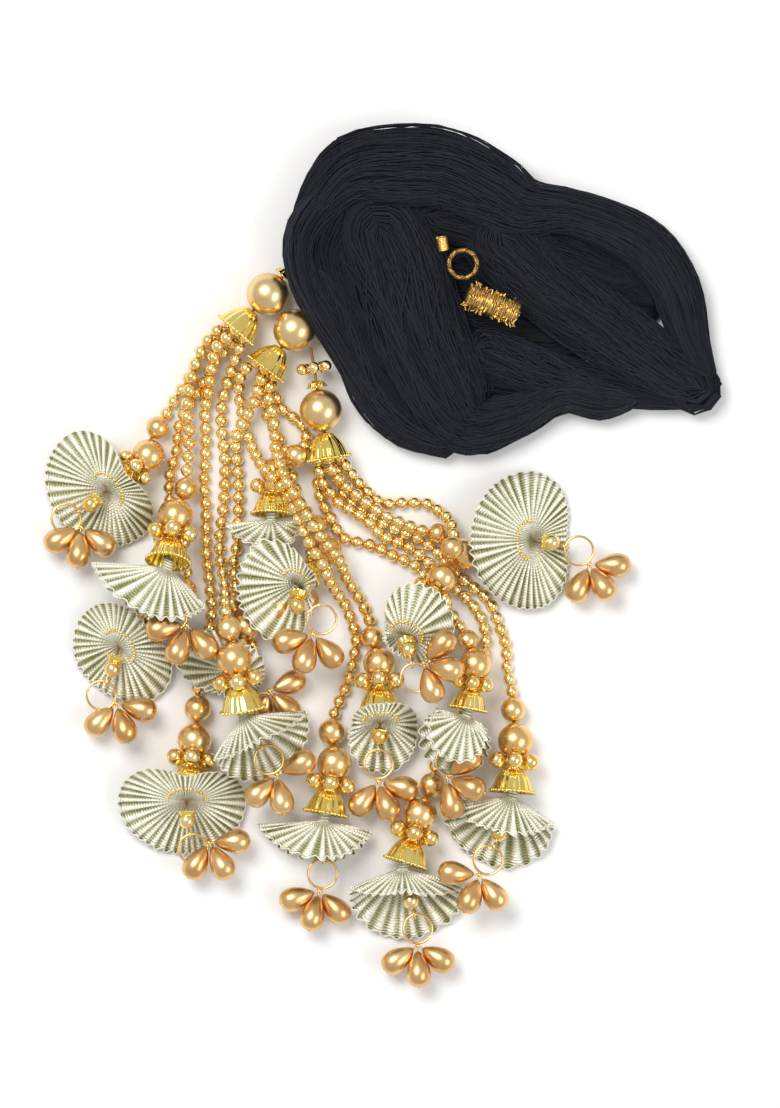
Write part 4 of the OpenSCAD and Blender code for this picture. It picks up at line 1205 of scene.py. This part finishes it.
def hankThreads(group, seed, low):
    chance = np.random.default_rng(seed)
    lines = []
    tints = []
    for bundle in group:
        frames = bundleFrames(bundle)
        count = int(float(np.mean(frames[2])) * hankSizes["perWidth"] * (1.0 if low else 2.0))
        # The low layer and the gap-filling bundles are darkened: painted shade in the crevices
        shade = 0.3 if low or bundle in bridges[2:] else 1.0
        for k in range(count):
            even = 2 * (k + chance.random()) / count - 1
            across = math.sin(math.pi * even / 2) if k % 3 == 0 else even
            layer = hankSizes["layerDepth"] * chance.random() ** 2
            lines.append(threadLine(frames, across, layer, chance, hankSizes["sway"]))
            # Threads on a bundle's crest are a little lighter: painted highlight
            top = 1 - abs(across)
            tints.append(shade * (0.12 + 0.85 * chance.random() ** 2.2 + 0.16 * top))
    return laidThreads("threads", lines, tints, "navy", hankSizes["thread"], 3, seed)


def makeHank():
    chance = np.random.default_rng(hankSizes["seed"])
    bodies = meshFrom("hankBodies", [bundleBody(bundle) for bundle in [*bundles, *bridges]])
    facesOut(bodies)
    makePiece("hankBody", bodies, "thread_black", "hank")
    upper = hankThreads(bundles[:-1], hankSizes["seed"], False)
    makePiece("hankThreads", upper, "thread_black", "hank")
    between = joined("between", [hankThreads(bridges, hankSizes["seed"] + 1, False),
                                 hankThreads(bundles[-1:], hankSizes["seed"] + 2, True)])
    makePiece("hankBridges", between, "thread_black", "hank")
    print("hank faces:", len(upper.polygons), len(between.polygons))
    lines = []
    tints = []
    for k in range(hankSizes["looseThreads"]):
        bundle = bundles[k % (len(bundles) - 1)]
        frames = bundleFrames(bundle)
        line = threadLine(frames, chance.uniform(-1, 1), -0.3, chance, hankSizes["looseSway"], 1.02)
        first = int(chance.uniform(0, len(line) * 0.4))
        last = int(chance.uniform(len(line) * 0.6, len(line)))
        lines.append(line[first:last])
        tints.append(chance.uniform(0.5, 1.0))
    loose = laidThreads("loose", lines, tints, "navy", hankSizes["loose"], 3, 5)
    makePiece("hankLoose", loose, "thread_black", "hank")


makeHank()
print("hank made")


# Windings of metallic thread: a bristly roll, and a twisted loop darkened as painted shade, with a bright end

windingSizes = {"from": (27, 85.5, 19.6), "to": (44.5, 78.6, 18), "radius": 3.75, "turns": 27,
                "rollThread": (0.9, 0.3, 0.3), "bristles": 170, "loopPlace": (26, 95.5, 16.6),
                "loopRadius": 4.6, "loopTube": 0.6, "loopStrands": 7, "loopThread": (0.9, 0.4, 0.2),
                "coilRadius": 1.5, "coilTurns": 8, "coilLength": 4.4, "coilPlace": (-6.3, 4.6, 1.0),
                "seed": 8}


def makeRoll():
    chance = np.random.default_rng(windingSizes["seed"])
    a = np.array(windingSizes["from"], dtype=float)
    b = np.array(windingSizes["to"], dtype=float)
    way = unit(b - a)
    length = np.linalg.norm(b - a)
    axes = frameFor(way)
    r = windingSizes["radius"]
    core = lathe([[pole, 0.3], [r * 0.8, 0.3], [r * 0.92, 1.5], [r * 0.92, length - 1.5],
                  [r * 0.8, length - 0.3], [pole, length - 0.3]], a, way, "zariThread", 28)
    lines = []
    tints = []
    for layer in range(2):
        points = []
        steps = windingSizes["turns"] * 18
        for k in range(steps + 1):
            u = k / steps
            angle = 2 * math.pi * windingSizes["turns"] * u * (1 if layer == 0 else -0.82)
            bulge = r * (0.9 + 0.1 * math.sin(math.pi * u)) + 0.22 * math.sin(7 * angle / 5 + layer)
            at = 0.8 + (length - 1.6) * u
            points.append(a + way * at + (axes[0] * math.cos(angle) + axes[1] * math.sin(angle)) * bulge)
        lines.append(points)
        tints.append(0.4 + 0.3 * layer)
    for k in range(windingSizes["bristles"]):
        angle = chance.uniform(0, 2 * math.pi)
        at = chance.uniform(0.4, length - 0.4)
        out = axes[0] * math.cos(angle) + axes[1] * math.sin(angle)
        lean = unit(out * 0.45 + way * chance.uniform(-1, 1) + np.cross(way, out) * chance.uniform(-1.2, 1.2))
        start = a + way * at + out * r * 0.92
        reach = chance.uniform(1.0, 2.4)
        lines.append([start, start + lean * reach * 0.5 + out * 0.15, start + lean * reach])
        tints.append(chance.uniform(0.2, 1.0))
    wound = laidThreads("wound", lines, tints, "zari", windingSizes["rollThread"], 5, 3)
    core[3]["threadTint"] = np.full(len(core[0]), 0.2)
    coreMesh = meshFrom("core", [core])
    makePiece("windingRoll", joined("roll", [coreMesh, wound]), "zari", "winding_1")


def makeLoop():
    place = np.array(windingSizes["loopPlace"], dtype=float)
    lines = []
    tints = []
    strands = windingSizes["loopStrands"]
    for s in range(strands):
        points = []
        for k in range(121):
            a = 2 * math.pi * k / 120
            twist = 2 * math.pi * s / strands + 9 * a
            r = windingSizes["loopRadius"] + windingSizes["loopTube"] * math.cos(twist)
            points.append([*circlePoint(r, a), windingSizes["loopTube"] * math.sin(twist)])
        lines.append(turned(points, place, (-0.1, -0.14, 0.985)))
        # The loop's strands get the darkest tints: painted shade, as the loop lies in shadow between bundles
        tints.append(0.35 * s / strands)
    coil = []
    stepsPerTurn = 14
    steps = windingSizes["coilTurns"] * stepsPerTurn
    r = windingSizes["coilRadius"]
    for k in range(steps + 1):
        a = 2 * math.pi * k / stepsPerTurn
        coil.append([*circlePoint(r, a), windingSizes["coilLength"] * k / steps])
    lines.append(turned(coil, place + np.array(windingSizes["coilPlace"]), (-0.2, 1.0, 0.15)))
    tints.append(1.0)
    loop = laidThreads("loop", lines, tints, "zari", windingSizes["loopThread"], 5, 4)
    makePiece("windingLoop", loop, "zari", "winding_2")


makeRoll()
makeLoop()
print("windings made")


# Floor and light

lightSizes = {"key": 14.0, "fill": 5.0, "sky": 0.6}


def makeStage():
    data = bpy.data.meshes.new("floor")
    data.from_pydata([(-1.5, -1.5, 0), (1.5, -1.5, 0), (1.5, 1.5, 0), (-1.5, 1.5, 0)], [], [(0, 1, 2, 3)])
    floor = addObject("floor", data)
    material, tree, shader = newMaterial("floorCloth", (0.86, 0.86, 0.87), 0.0, 0.85)
    place = addNode(tree, "ShaderNodeTexCoord")
    soft = noiseOn(place, 5, 2)
    tinted(soft, "Fac", shader, (0.87, 0.87, 0.87), (0.92, 0.92, 0.92), 0.3, 0.7)
    data.materials.append(material)


def addLight(name, place, size, energy, color):
    # Lamp that shines at the middle of the part
    data = bpy.data.lights.new(name, "AREA")
    data.shape = "RECTANGLE"
    data.size = size[0]
    data.size_y = size[1]
    data.energy = energy
    data.color = color
    light = addObject(name, data)
    light.location = place
    light.rotation_euler = mathutils.Matrix(frameFor(place).tolist()).transposed().to_euler()


def makeLights():
    bpy.context.scene.view_settings.view_transform = "Standard"
    addLight("key", (-0.45, 0.55, 1.3), (0.7, 0.7), lightSizes["key"], (1.0, 0.985, 0.96))
    addLight("fill", (0.9, -0.3, 1.0), (0.8, 0.5), lightSizes["fill"], (0.96, 0.98, 1.0))
    world = bpy.data.worlds.new("sky")
    world.use_nodes = True
    sky = world.node_tree.nodes["Background"]
    sky.inputs["Color"].default_value = (1.0, 1.0, 1.0, 1)
    sky.inputs["Strength"].default_value = lightSizes["sky"]
    bpy.context.scene.world = world


makeStage()
makeLights()
print("stage made")
